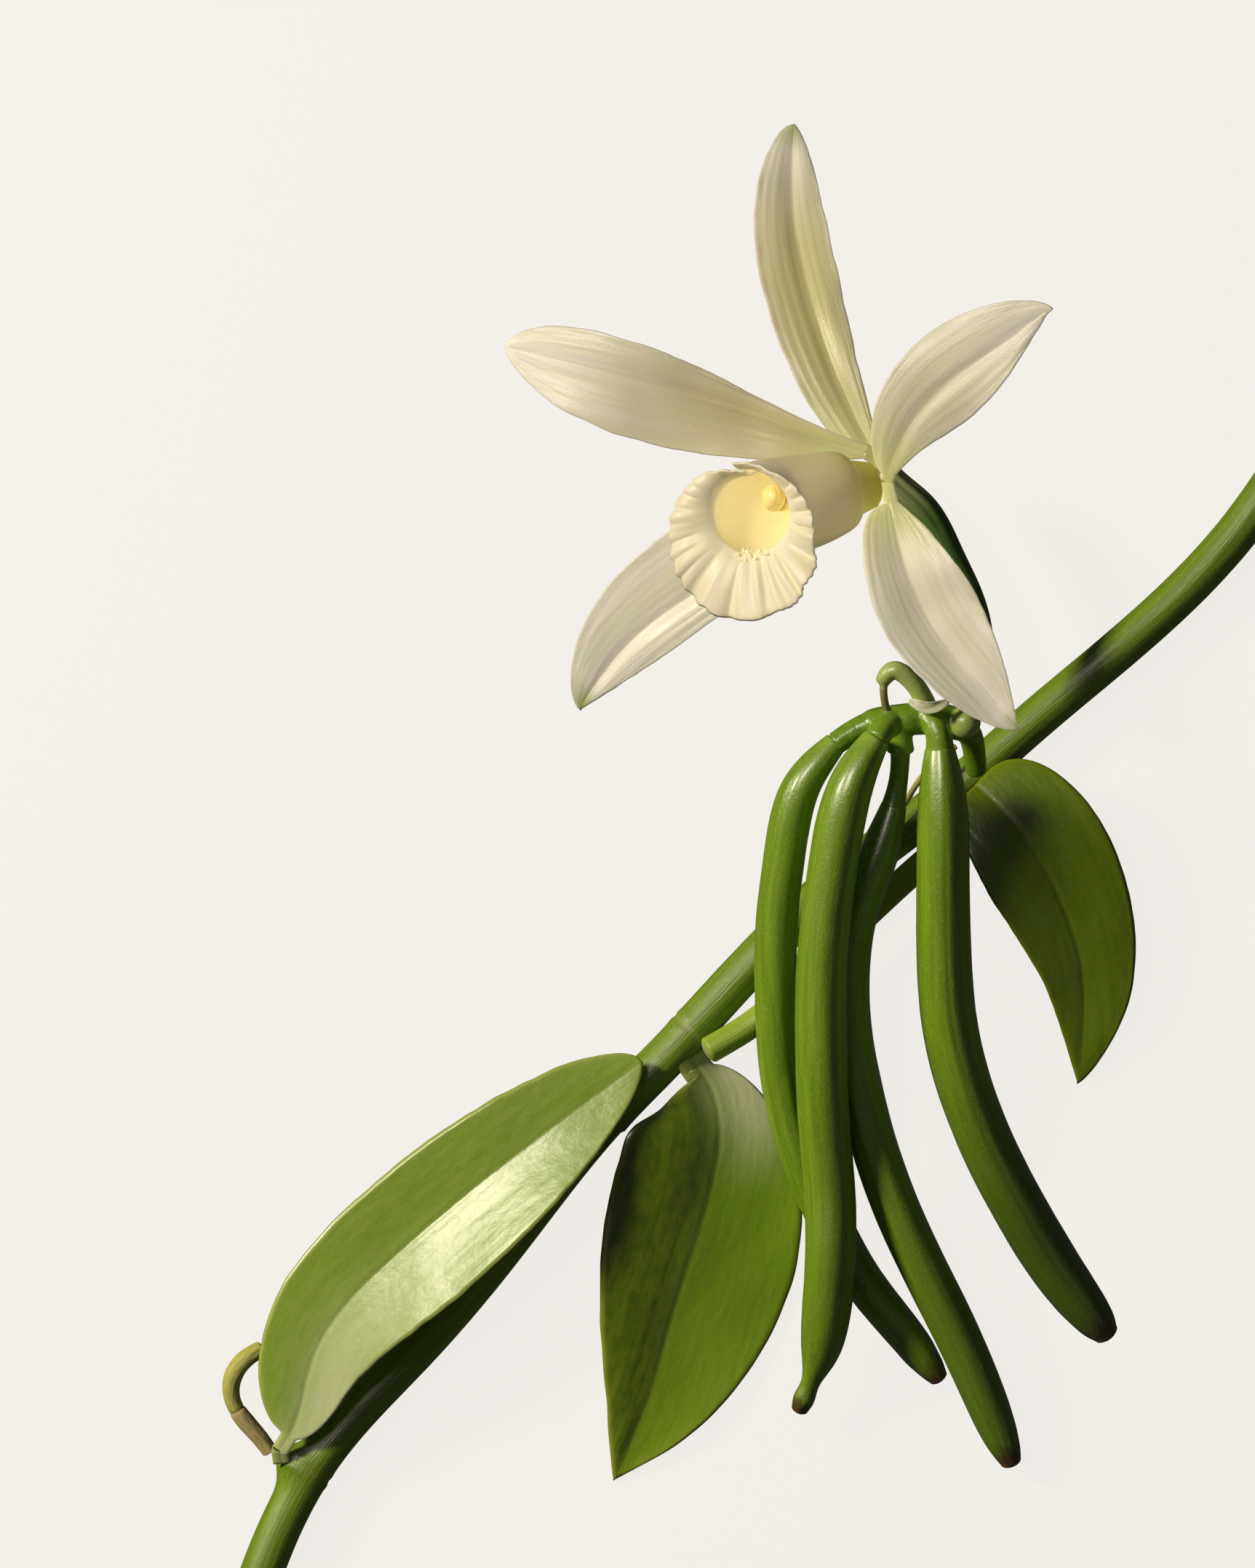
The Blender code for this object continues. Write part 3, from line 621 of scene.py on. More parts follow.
def blade(shape, relief=None, outline=None):
    # a cupped strip about its midrib, as points, faces and what each point is told
    rows, columns = shape["rows"], shape["columns"]
    t = 0.5 - 0.5 * np.cos(math.pi * np.linspace(0, 1, rows))
    path = evenSteps(shape["route"], t)
    if "foot" in shape:  # rows that carry the base on to the place where it joins
        extra = 12
        reach = np.linspace(1, 0, extra, endpoint=False)[:, None]
        path = np.concatenate([path[0] + reach * (np.array(shape["foot"]) - path[0]), path])
        t = np.concatenate([np.zeros(extra), t])
    _, side, up = framesOf(path)
    arc = arcLength(path)[:, None]
    roll = np.radians(along(shape["roll"], t))[:, None]
    right, above = side * np.cos(roll) + up * np.sin(roll), up * np.cos(roll) - side * np.sin(roll)
    even = np.linspace(-1, 1, columns)
    s = 0.45 * even + 0.55 * np.sin(0.5 * math.pi * even)
    half = np.where(s < 0, halfWidth(t, shape["left"], shape["base"], shape["stalk"])[:, None],
                    halfWidth(t, shape["right"], shape["base"], shape["stalk"])[:, None])
    if outline is not None:
        half = half + outline(t[:, None], s[None], arc)
    x = s * half
    swell = np.sin(math.pi * t)[:, None]
    ripple = np.sin(math.tau * 1.6 * t[:, None] + 1.2 * np.sign(s))
    soft = shape.get("creaseSoftness", 0.05)
    vee = (np.sqrt(s**2 + soft**2) - soft) / (math.sqrt(1 + soft**2) - soft)
    fold = shape.get("fold", 0)
    z = (fold * vee + (1 - fold) * s**2) * swell * (shape["cup"] + shape["wave"] * ripple)
    if relief is not None:
        z = z + relief(t[:, None], s[None], x, arc, half)
    grid = path[:, None] + x[..., None] * right[:, None] + z[..., None] * above[:, None]
    margin = half * (1 - np.abs(s))
    edgeRound = np.sqrt(1 - np.clip(1 - margin / shape["edgeReach"], 0, 1) ** 2)
    fromEnd = np.minimum(arc, arc[-1] - arc)
    endRound = np.sqrt(1 - np.clip(1 - fromEnd / shape["edgeReach"], 0, 1) ** 2)
    thick = 0.5 * shape["thickness"] * (1 - 0.45 * s**2) * edgeRound * endRound
    points, faces = shellMesh(grid, thick)
    upper = np.stack(np.broadcast_arrays(x, arc, 1.0), -1)
    lower = np.stack(np.broadcast_arrays(x, arc, -1.0), -1)
    share = np.stack(np.broadcast_arrays(t[:, None], s[None], margin), -1)
    return points, faces, bothSides(upper, lower), bothSides(share, share)


# left and right give each half of a blade: its greatest half width in mm, and two powers that say
# how fast it widens from the base and narrows to the tip. fold is how much its section is a V
# instead of a bowl, cup how deep it is, and bulge how far the two halves swell.
leaves = {
    "leaf_left": dict(
        rows=150, columns=84, thickness=1.0, edgeReach=0.8, fold=0.85, creaseSoftness=0.24, rib=0.5,
        foot=(-101, -122.2, 8.6),
        route=[(-101.4, -119.4, 10.2), (-99, -115.5, 11.2), (-94.5, -100.5, 14), (-78, -79.5, 16),
               (-51, -57, 16), (-26.5, -39, 13.2)],
        left=(13.8, 0.46, 0.5), right=(15.3, 0.7, 0.72), base=1.8, cup=2.8, paleAndShine=(0.6, 0.5, 6, 7),
        roll=[(0, 7), (0.25, 8), (0.5, 6), (0.75, 7), (1, 8)], wave=0.25, stalk=0.035,
        bulge=(0.2, 0), uneven=0.15, colours=dict(
            # rightHalf is partly a painted highlight, lighter where the shine runs along the blade
            leftHalf="90B42C", rightHalf="9EBE54", streak="AAC65A", edge="B9C766", rib="9DB04A",
            rim="9A9248"),
    ),
    "leaf_lower": dict(
        rows=150, columns=84, thickness=1.0, edgeReach=0.8, fold=0.5, creaseSoftness=0.3, rib=0.5,
        foot=(-16.8, -36.6, 10.6),
        route=[(-14.6, -40.2, 8.6), (-12.6, -43.5, 7.6), (-11.2, -60, 6.6), (-18, -84, 5.4),
               (-25, -108, 3.6), (-32.5, -126, 0.8)],
        left=(21.8, 0.9, 1.05), right=(19.8, 0.42, 0.95), base=3.5, cup=0.5,
        roll=[(0, 20), (0.35, 13), (1, 0)], wave=0.5, stalk=0.02,
        bulge=(-0.4, 0.8), droop=2.4, paleAndShine=(1.0, 0.3, -7, 7), colours=dict(
            # rightHalf is painted shade: this half turns away from the light
            leftHalf="8CB41C", rightHalf="485F02", streak="84A61C", edge="A2AE30", rib="A0B244",
            rim="8A6A30"),
    ),
    "leaf_right": dict(
        rows=130, columns=72, thickness=1.0, edgeReach=0.8, fold=0.3, creaseSoftness=0.15, rib=0.4,
        route=[(42, 18, 11.6), (48.8, 11.5, 13), (58.5, -3, 11.6), (64.2, -19.5, 8),
               (63.6, -43.8, 1.6)],
        left=(14.3, 0.42, 0.8), right=(12, 0.55, 1.05), base=3.2, cup=0.8,
        roll=[(0, 14), (0.2, 9), (0.5, 6), (1, 0)], wave=0.5, stalk=0,
        bulge=(0.3, 0.3), colours=dict(
            leftHalf="688508", rightHalf="6C8804", streak="7A9A0E", edge="90A01C", rib="8EA02A",
            rim="7E7A2A"),
    ),
}
leafForm = {"ribDepth": 0.45, "ribWidth": 0.7, "marginRoll": 0.25, "veinDepth": 0.02, "veinPitch": 1.4}


def makeLeafCuticle(name, tones):
    # thick fleshy leaf with a glossy wax cuticle: clear soft highlights, parallel veins that
    # only just show, a yellower margin, and a paler midrib
    material, tree, shader, place, share, marks = startMaterial(name, {
        "Roughness": 0.3, "IOR": 1.48, "Subsurface Weight": 0.06,
        "Subsurface Radius": (1.0, 1.0, 0.3), "Subsurface Scale": 0.001, "Coat Weight": 0.2,
        "Coat Roughness": 0.2,
    })
    # each half has its own green: leaf_lower's dark half is painted shade, leaf_left's paler half partly a
    # painted highlight
    side = rangeOf(tree, share["Y"], -0.2, 0.25)
    colour = blendColour(tree, side, tones["leftHalf"], tones["rightHalf"])
    streaks = patches(tree, place, (0.3, 0.03, 1.0), 0.35, 0.72)
    colour = blendColour(tree, streaks, colour, tones["streak"], strength=0.4)
    # veins are 0.2 mm threads 0.8 mm apart: drawn at about 1.2 mm so that they show
    veins = patches(tree, place, (1.1, 0.025, 1.0), 0.4, 0.62, shift=4)
    colour = blendColour(tree, veins, colour, tones["streak"], strength=0.15)
    mottle = patches(tree, place, (0.45, 0.25, 1.0), 0.38, 0.62, shift=8, detail=4.0)
    colour = blendColour(tree, mottle, colour, tones["edge"], strength=0.22)
    colour = blendColour(tree, rangeOf(tree, share["Z"], 1.6, 0.1), colour, tones["edge"], strength=0.7)
    colour = blendColour(tree, rangeOf(tree, share["Z"], 0.22, 0.1), colour, tones["rim"], strength=0.8)
    colour = blendColour(tree, marks["X"], colour, tones["rib"])
    colour = blendColour(tree, marks["Y"], colour, tones["edge"])
    # marks Z: paler skin near the stem and a painted highlight
    colour = blendColour(tree, marks["Z"], colour, "EEF2C8")
    tree.links.new(colour, shader.inputs["Base Color"])
    addBump(tree, shader, mottle, 0.00008, 0.4)
    return material


def makeLeaf(name, shape, seed):
    def relief(t, s, x, arc, half):
        body = np.minimum(1, half / 5) * np.sin(math.pi * np.clip(t, 0.02, 1)) ** 0.3
        sunk = leafForm["ribDepth"] * shape.get("rib", 1) * (1 - t) ** 0.4
        rise = -sunk * bell(x, leafForm["ribWidth"]) * body
        rise = rise + shape.get("uneven", 0.3) * wobble(x, arc, 30, seed, 2) * body
        rise = rise + leafForm["veinDepth"] * wobble(x * 3, arc / 8, leafForm["veinPitch"] * 3, seed + 1)
        rise = rise - leafForm["marginRoll"] * smoothStep(np.abs(s), 0.93, 1.0) * body
        swell = np.where(s < 0, shape["bulge"][0], shape["bulge"][1])
        rise = rise + swell * np.sin(math.pi * np.abs(s)) * body
        return rise - shape.get("droop", 0) * (1 - smoothStep(arc, 0, 22))

    def outline(t, s, arc):
        return 0.18 * wobble(arc, 9 * np.sign(s), 14, seed + 2) * smoothStep(t, 0.05, 0.2) * (
            1 - smoothStep(t, 0.9, 1)) * np.abs(s)

    points, faces, place, share = blade(shape, relief, outline)
    x, t = place[:, 0], share[:, 0]
    rib = bell(x, 0.4) * (1 - 0.6 * t)
    foot = 1 - smoothStep(t, 0.0, 0.06)
    # skin that is paler near the stem, with a painted highlight where the leaf's shine spreads, as (how
    # much, how far up, middle, width)
    most, reach, middle, width = shape.get("paleAndShine", (0, 1, 0, 1))
    paleAndShine = most * (1 - smoothStep(t, 0.2 * reach, reach)) * bell(x - middle, width)
    marks = np.stack([0.5 * rib, 0.6 * foot, paleAndShine], -1)  # midrib, foot, paler skin with a painted highlight
    addPiece(name + "Blade", points, faces, makeLeafCuticle(name + "WaxyCuticle", shape["colours"]),
             [name], place, share, marks)


for i, (name, shape) in enumerate(leaves.items()):
    makeLeaf(name, shape, 101 + 10 * i)
print("leaves made")

tepalForm = {"rows": 140, "columns": 80, "thickness": 0.8, "edgeReach": 0.5, "ribs": 4.5,
             "ribDepth": 0.07}
tepals = {
    # bulge lifts the middle of the left and right halves, crease is how deep and how wide the
    # midrib sinks, foot carries the base on to where the tepals join, and paintedShade is how much
    # painted shade darkens the flesh, until where along it, and where that is gone
    "sepal_top": dict(
        route=[(20.7, 86.8, 27.2), (13.5, 102, 24.4), (7.5, 120, 18), (4.5, 136.5, 9.5), (5, 155, 0.9)],
        left=(8.9, 0.5, 0.5), right=(7, 1, 0.75), base=1.6, cup=1.5, wave=0.5, greenTip=0.8,
        bulge=(0.7, 0.7), crease=(0.25, 1.4), green=0.5, paintedShade=(1.0, 0.5, 1.0), foot=(22.6, 83.2, 26.4)),
    "petal_left": dict(
        route=[(19.2, 86.6, 28.6), (3, 92.2, 28), (-15, 98, 28.6), (-36, 103.2, 30), (-54.8, 108, 26)],
        left=(12.1, 1, 0.75), right=(7.8, 1.7, 0.55), base=1.6, cup=1.2, wave=0.6, greenTip=0,
        bulge=(0.5, 0.6), crease=(0.4, 1.5), paintedShade=(0.85, 0.3, 0.9), foot=(22.9, 84.6, 27.4)),
    "petal_right": dict(
        route=[(23.9, 81.8, 28.6), (28, 91.5, 31), (36, 100.5, 34), (46.5, 108, 37.5),
               (57.4, 115.6, 40)],
        left=(10.3, 0.75, 0.65), right=(8.4, 1.3, 1.45), base=1.6, cup=0.3, wave=0.7, greenTip=0.1,
        bulge=(0.5, 0.3), crease=(0.3, 1.2), paintedShade=(0.4, 0.3, 0.9), foot=(23.5, 80.4, 27.9)),
    "sepal_lower_right": dict(
        route=[(24.4, 76, 29.6), (25.8, 69, 32.5), (30.8, 54, 34), (40.5, 40.5, 35), (50.5, 29.5, 34)],
        left=(11, 1, 1.1), right=(8.8, 0.5, 0.65), base=1.6, cup=2, fold=0.6, wave=0.4, greenTip=0.7,
        bulge=(0, 0.1), crease=(1.1, 4), foot=(23.4, 80.6, 26.8)),
    "sepal_lower_left": dict(
        route=[(18.5, 79.2, 22), (3, 69, 20), (-15, 58.2, 15), (-30, 46.5, 9), (-39.4, 33.6, 2)],
        left=(7.1, 1.75, 1.1), right=(13.7, 0.45, 0.6), base=1.6, cup=1.6, wave=0.4, greenTip=1.0,
        bulge=(0.9, 0.5), crease=(0.7, 1.3), paintedShade=(0, 0, 1), foot=(21.5, 81.6, 22.8)),
}


def makeTepalFlesh():
    # thin, wet flower flesh with a satin skin: light passes some way in, the veins that run its
    # length show as faint green stripes, and single cells glint in the highlights
    material, tree, shader, place, _, marks = startMaterial("vanillaFlowerFleshSatin", {
        "Roughness": 0.36, "IOR": 1.4, "Subsurface Weight": 0.1,
        "Subsurface Radius": (1.0, 0.9, 0.5), "Subsurface Scale": 0.0005,
    })
    stripes = patches(tree, place, (0.75, 0.01, 1.0), 0.38, 0.66)        # veins about 1.3 mm apart
    # marks Z is painted shade: it darkens the flesh to an olive cream
    colour = blendColour(tree, marks["Z"], "F6F3E8", "BCB282")
    colour = blendColour(tree, stripes, colour, "D2D6A4", strength=0.4)
    colour = blendColour(tree, marks["X"], colour, "CDD48E")
    colour = blendColour(tree, marks["Y"], colour, "93A83A")
    tree.links.new(colour, shader.inputs["Base Color"])
    cells = patches(tree, place, (2.6, 1.6, 1.0), 0.3, 0.7, shift=2)     # drawn 0.4 mm across
    addBump(tree, shader, cells, 0.00004, 0.5)
    return material


def makeTepal(name, tepal, material, seed):
    def relief(t, s, x, arc, half):
        body = np.minimum(1, half / 4) * np.sin(math.pi * np.clip(t, 0.03, 1)) ** 0.5
        lift = np.where(s < 0, tepal["bulge"][0], tepal["bulge"][1])
        rise = lift * np.sin(math.pi * np.abs(s)) ** 1.3 * body
        rise = rise - tepal["crease"][0] * bell(x, tepal["crease"][1]) * body
        rise = rise + tepalForm["ribDepth"] * wobble(s * tepalForm["ribs"], arc / 40, 1, seed, 2) * body
        rise = rise + 0.3 * wobble(x, arc, 26, seed + 1, 2) * body
        return rise + 0.12 * smoothStep(np.abs(s), 0.8, 1) * wobble(x * 0.3, arc, 9, seed + 2, 2) * body

    def outline(t, s, arc):
        return 0.16 * wobble(arc, 9 * np.sign(s), 11, seed + 3) * smoothStep(t, 0.05, 0.2) * (
            1 - smoothStep(t, 0.9, 1)) * np.abs(s)

    shape = dict(tepalForm, roll=[(0, 0), (1, 0)], stalk=0, **tepal)
    points, faces, place, share = blade(shape, relief, outline)
    t, s = share[:, 0], share[:, 1]
    base = np.maximum((1 - smoothStep(t, 0.0, 0.34)) * (1 - 0.3 * np.abs(s)),
                      tepal.get("green", 0.1) * (1 - smoothStep(t, 0.5, 1)) * (1 - s**2))
    tip = smoothStep(t, 0.9, 1.0) * tepal["greenTip"] * (1 - 0.6 * np.abs(s))
    most, full, gone = tepal.get("paintedShade", (0.15, 0.3, 0.85))
    paintedShade = most * (1 - smoothStep(t, full, gone)) * (1 - 0.4 * s**2)
    marks = np.stack([0.85 * base, tip, paintedShade], -1)  # green base, green tip, painted shade
    # tepals are thin enough to let most of the light through, so they cast no shadow
    piece = addPiece(name + "Flesh", points, faces, material, [name], place, share, marks,
                     shades=False)
    paleFlesh.objects.link(piece)


tepalFlesh = makeTepalFlesh()
for i, (name, tepal) in enumerate(tepals.items()):
    makeTepal(name, tepal, tepalFlesh, 201 + 10 * i)
print("tepals made")


# flare is (share of the reach, mm forward) for each step past the tube, and folds are
# (degrees round the mouth, depth, width)
lip = {
    "route": [(20.6, 79.4, 29.4), (14, 78, 32.6), (6.5, 75.7, 36.2), (-1, 74.2, 40.4), (-4.6, 73.5, 47)],
    "radius": [(0, 4), (0.18, 5.8), (0.42, 8.8), (0.72, 9.6), (1, 8.6)],
    "tubeRows": 9,
    "flare": [(0, 0), (0.14, 1.4), (0.4, 2.6), (0.7, 3.5), (1, 4.2)],
    "reach": 7.3, "lobe": 5.7, "lean": 2.1, "overlap": 0.3, "step": 1.5, "seamAngle": 8,
    "ruffle": 0.6, "ruffles": 11, "thickness": 0.6, "stations": 100, "turns": 400,
    "frillPitch": 3.3, "lobePitch": 9.5, "frillDepth": 0.34, "lobeDepth": 0.5,
    "folds": [(186, 1.7, 0.1), (163, 1.2, 0.09), (209, 1.0, 0.12), (138, 0.8, 0.12), (228, 0.5, 0.1)],
    "lowerLobe": (172, 0.8),            # where the long lower lobe is, and how wide
    "rollBack": 2.6, "sideWave": 0.3, "rimWander": 0.7, "wallUneven": 0.25,
    "teeth": (145, 0.4, 1.6, 0.45),     # middle, spread, pitch and height of the small teeth
    "fringeFrom": (138, 214), "fringeRows": (6.9, 8.7), "fringeCount": 46,
    "fringeLength": (0.7, 1.7), "fringeWidth": 0.34,
}


def makeLipFlesh():
    # the lip's flesh is thicker and wetter than the tepals': warm cream, deep yellow in the throat
    material, tree, shader, place, _, marks = startMaterial("vanillaLipFleshSatin", {
        "Roughness": 0.42, "IOR": 1.4, "Subsurface Weight": 0.15,
        "Subsurface Radius": (1.0, 0.9, 0.5), "Subsurface Scale": 0.0006,
    })
    veins = patches(tree, place, (0.6, 0.02, 1.0), 0.4, 0.7)
    colour = blendColour(tree, veins, "F8F0D6", "F1E6C2")
    colour = blendColour(tree, marks["X"], colour, "FDF8DA")
    colour = blendColour(tree, marks["Z"], colour, "F8E6A0")
    colour = blendColour(tree, marks["Y"], colour, "D8D650")
    tree.links.new(colour, shader.inputs["Base Color"])
    addBump(tree, shader, veins, 0.00005, 0.4)
    return material


def lipGrid():
    # the trumpet as rows from its foot to its rim, with each row running once round
    tubeSteps = lip["tubeRows"] - 1
    flareSteps = len(lip["flare"]) - 1
    station = np.linspace(0, tubeSteps + flareSteps, lip["stations"])
    tubeT = np.minimum(station / tubeSteps, 1)
    coarse = evenSteps(lip["route"], np.linspace(0, 1, lip["tubeRows"]))
    axes = []
    for direction in framesOf(coarse):
        axes.append(unit(np.stack([np.interp(tubeT * tubeSteps, np.arange(lip["tubeRows"]), direction[:, i])
                                   for i in range(3)], 1)))
    tangent, side, up = axes
    path = evenSteps(lip["route"], tubeT)
    radius = along(lip["radius"], tubeT)
    fine = spline([(i, a, b) for i, (a, b) in enumerate(lip["flare"])], 400)
    past = np.maximum(station - tubeSteps, 0)
    share = np.where(past > 0, np.interp(past, fine[:, 0], fine[:, 1]), 0)[:, None]
    forward = np.where(past > 0, np.interp(past, fine[:, 0], fine[:, 2]), 0)[:, None]
    turn = np.linspace(-lip["overlap"] / 2, math.tau + lip["overlap"] / 2, lip["turns"])
    angle = turn + math.radians(lip["seamAngle"])
    lap = lip["step"] * (0.5 - np.linspace(0, 1, lip["turns"]))
    reach = lip["reach"] - lip["lobe"] * np.cos(angle) - lip["lean"] * np.sin(angle)
    step = np.linalg.norm(coarse[-1] - coarse[-2])
    depth = step * np.minimum(station, tubeSteps)[:, None] + forward
    width = radius[:, None] + share * reach[None]
    slope = np.arctan2(np.gradient(width, axis=0), np.gradient(depth, axis=0))
    opened = np.clip((station - tubeSteps + 2) / (flareSteps + 2), 0, 1)[:, None]
    calm = np.sin(turn / 2)
    ahead = forward + lip["ruffle"] * opened**2 * np.sin(lip["ruffles"] * turn) * calm
    # small frills crowd the rim of the side lobes, broader folds run down the long lower lobe
    lobeAt, lobeWide = lip["lowerLobe"]
    lower = bell(turnGap(angle, math.radians(lobeAt)), lobeWide)
    pitch = lip["frillPitch"] + (lip["lobePitch"] - lip["frillPitch"]) * lower
    rim = radius[-1] + reach
    wander = 2.6 * wobble(turn * 8, 0 * turn, 11, 301) + 0.5 * wobble(turn * 8, 0 * turn, 3, 304)
    phase = np.cumsum(np.gradient(turn) * rim / pitch) * math.tau + wander
    uneven = 1 + 1.5 * wobble(turn * 8, 5 + 0 * turn, 9, 303)
    frill = uneven * (np.sin(phase) + 0.3 * np.sin(2 * phase + 1))
    rimGrow = smoothStep(share, 0.15, 0.9)
    lobeGrow = smoothStep(opened, 0.25, 0.9)
    calmer = np.maximum(0.4, calm)
    ahead = ahead + lip["frillDepth"] * frill * rimGrow * calmer * (1 - lower)
    ahead = ahead + lip["lobeDepth"] * frill * lobeGrow * lower
    for place, sunk, wide in lip["folds"]:
        fold = bell(turnGap(angle, math.radians(place)) + 0.1 * (share - 0.5), wide)
        ahead = ahead - sunk * fold * opened**1.5
    sideways = smoothStep(-np.sin(angle), 0.1, 0.9)
    ahead = ahead - lip["rollBack"] * share**3 * sideways
    out = radius[:, None] + share * reach[None]
    edge = share**3
    out = out + lip["sideWave"] * edge * np.sin(phase + 0.8) * calmer
    out = out + lip["rimWander"] * edge * wobble(turn * 8, 3 + 0 * turn, 13, 305) * calmer
    toothAt, toothWide, toothPitch, toothHeight = lip["teeth"]
    teeth = np.abs((np.cumsum(np.gradient(turn) * rim / toothPitch)) % 1 - 0.5) * 2
    out = out + toothHeight * edge**2 * bell(turnGap(angle, math.radians(toothAt)), toothWide) * teeth
    out = out + lip["wallUneven"] * opened * wobble(turn[None] * 10, station[:, None], 8, 302)
    out = out + lap * np.cos(slope)
    ahead = ahead - lap * np.sin(slope)
    ring = np.cos(angle)[None, :, None] * side[:, None] + np.sin(angle)[None, :, None] * up[:, None]
    grid = path[:, None] + out[..., None] * ring + ahead[..., None] * tangent[:, None]
    return grid, station, turn, angle, share, arcLength(path)[:, None] + share * reach[None]


def fringe(grid, station, angle):
    # soft fleshy hairs that crowd the sill of the throat
    rng = np.random.default_rng(331)
    down, across = np.gradient(grid, axis=(0, 1))
    inward = unit(np.cross(across, down))
    points, faces = [], []
    sides, rings = 10, 6
    for k in range(lip["fringeCount"]):
        place = math.radians(rng.uniform(*lip["fringeFrom"]))
        row = int(np.argmin(np.abs(station - rng.uniform(*lip["fringeRows"]))))
        column = int(np.argmin(np.abs(angle - place)))
        foot, out = grid[row, column], inward[row, column]
        lean = unit(out + rng.normal(0, 0.35, 3))
        length = rng.uniform(*lip["fringeLength"])
        width = lip["fringeWidth"] * rng.uniform(0.7, 1.3)
        side = unit(np.cross(lean, (0.3, 0.5, 0.81)))
        other = np.cross(side, lean)
        for up in np.linspace(-0.25, 1, rings):
            scale = width * math.sqrt(max(1 - max(up, 0) ** 3, 0.02))
            middle = foot + lean * up * length + side * 0.25 * up**2 * length
            for turn in np.arange(sides) * math.tau / sides:
                points.append(middle + scale * (math.cos(turn) * side + math.sin(turn) * other))
        start = k * sides * rings
        faces += [[v + start for v in face] for face in loftFaces(rings, sides)]
    return np.array(points), faces


def makeLip(material):
    grid, station, turn, angle, share, arc = lipGrid()
    end = np.minimum(1, (station[-1] - station) / 0.35)[:, None]
    near = np.minimum(np.arange(lip["turns"]), np.arange(lip["turns"])[::-1])
    sides = np.minimum(1, near / 3)[None]
    half = 0.5 * lip["thickness"] * np.sqrt(1 - (1 - end) ** 2) * np.sqrt(1 - (1 - sides) ** 2)
    points, faces = shellMesh(grid, half)
    shape = grid.shape[:2]
    full = np.broadcast_to(turn[None], shape)
    place = np.stack([full * 9, np.broadcast_to(arc, shape), np.zeros(shape)], -1)
    told = np.stack(np.broadcast_arrays(station[:, None] / station[-1], full / math.tau, share), -1)
    depth = np.broadcast_to(station[:, None], shape)
    throat = 1 - smoothStep(depth, 6.6, 10.2)
    deep = 0.4 * (1 - smoothStep(depth, 2.5, 7.2))
    foot = 1 - smoothStep(depth, 0.3, 3.2)
    fromSeam = smoothStep(near / lip["turns"], 0.033, 0.117)[None]
    # three marks: pale throat, green foot, deep yellow
    inside = np.stack([throat * fromSeam, foot * (1 - fromSeam), deep * fromSeam], -1)
    outside = np.stack([0 * throat, foot, 0.55 * (1 - smoothStep(depth, 3, 8.5))], -1)
    hairs, hairFaces = fringe(grid, station, angle)
    count = len(points)
    tone = np.tile((1.0, 0.0, 0.25), (len(hairs), 1))
    piece = addPiece(
        "lipFlesh", np.concatenate([points, hairs]),
        faces + [[v + count for v in face] for face in hairFaces], material, ["lip"],
        np.concatenate([bothSides(place, place), hairs]),
        np.concatenate([bothSides(told, told), 0 * hairs]),
        np.concatenate([bothSides(inside, outside), tone]), shades=False)
    paleFlesh.objects.link(piece)


makeLip(makeLipFlesh())
print("lip made")


column = {
    "sides": 56, "rings": 120, "radius": [(0, 1.7), (0.5, 1.7), (0.8, 2.4), (0.93, 2.7), (1, 2.2)],
    "route": [(20, 79.5, 29.2), (13.5, 78, 30.8), (6, 76.8, 34.5), (-0.4, 76.9, 41)],
}
ovary = {
    "sides": 56, "rings": 200, "ends": ("dome", "cut"),
    "radius": [(0, 2.4), (0.12, 3.1), (0.3, 3.4), (0.6, 3.1), (1, 2.9)],
    "route": [(21.4, 84.4, 24), (26.6, 78.9, 23.5), (31, 74.8, 23), (36.4, 65.2, 22.5), (40.4, 57, 23),
              (42.6, 48, 24.5), (42.2, 40.6, 26)],
}


def makeColumn():
    # the column is solid yellow flesh, moist and smooth, with a browned edge on its cap
    material, tree, shader, place, _, marks = startMaterial("vanillaColumnFlesh", {
        "Roughness": 0.4, "IOR": 1.4, "Subsurface Weight": 0.35,
        "Subsurface Radius": (1.0, 0.8, 0.35), "Subsurface Scale": 0.0018,
    })
    grain = patches(tree, place, (1.2, 1.2, 0.4), 0.35, 0.7)
    colour = blendColour(tree, grain, "F4E6A0", "ECD886")
    colour = blendColour(tree, marks["X"], colour, "8A5A1E")
    tree.links.new(colour, shader.inputs["Base Color"])

    def relief(t, turn, arc, r):
        lobes = 0.18 * np.cos(2 * turn) * smoothStep(t, 0.7, 1)
        return lobes - 0.35 * bell(t - 0.9, 0.02)

    def told(t, turn):
        return 0.8 * bell(t - 0.905, 0.015), 0 * t, 0 * t

    piece = stalkPiece("columnFlesh", column, material, ["column"], relief, told, shades=False)
    paleFlesh.objects.link(piece)


def makeOvary():
    # green stalk behind the flower: waxy like the pods, greyer and ribbed where the tepals join
    material, tree, shader, place, _, marks = startMaterial("vanillaOvaryWaxySkin", {
        "Roughness": 0.4, "IOR": 1.45, "Subsurface Weight": 0.08,
        "Subsurface Radius": (1.0, 1.0, 0.3), "Subsurface Scale": 0.0012,
    })
    streaks = patches(tree, place, (0.9, 0.9, 0.05), 0.3, 0.7)
    colour = blendColour(tree, streaks, "3C5A14", "55772A")
    top = blendColour(tree, streaks, "727C4E", "949C6C")
    colour = blendColour(tree, marks["X"], colour, top)
    tree.links.new(colour, shader.inputs["Base Color"])
    addBump(tree, shader, streaks, 0.0001, 0.5)

    def relief(t, turn, arc, r):
        ribbed = 0.12 * np.cos(9 * turn) * (1 - smoothStep(t, 0.2, 0.5))
        return ribbed + 0.08 * wobble(turn * 2, arc / 12, 5, 401)

    def told(t, turn):
        return 1 - smoothStep(t, 0.14, 0.34), 0 * t, 0 * t

    stalkPiece("ovarySkin", ovary, material, ["ovary"], relief, told)


makeColumn()
makeOvary()
print("column and ovary made")


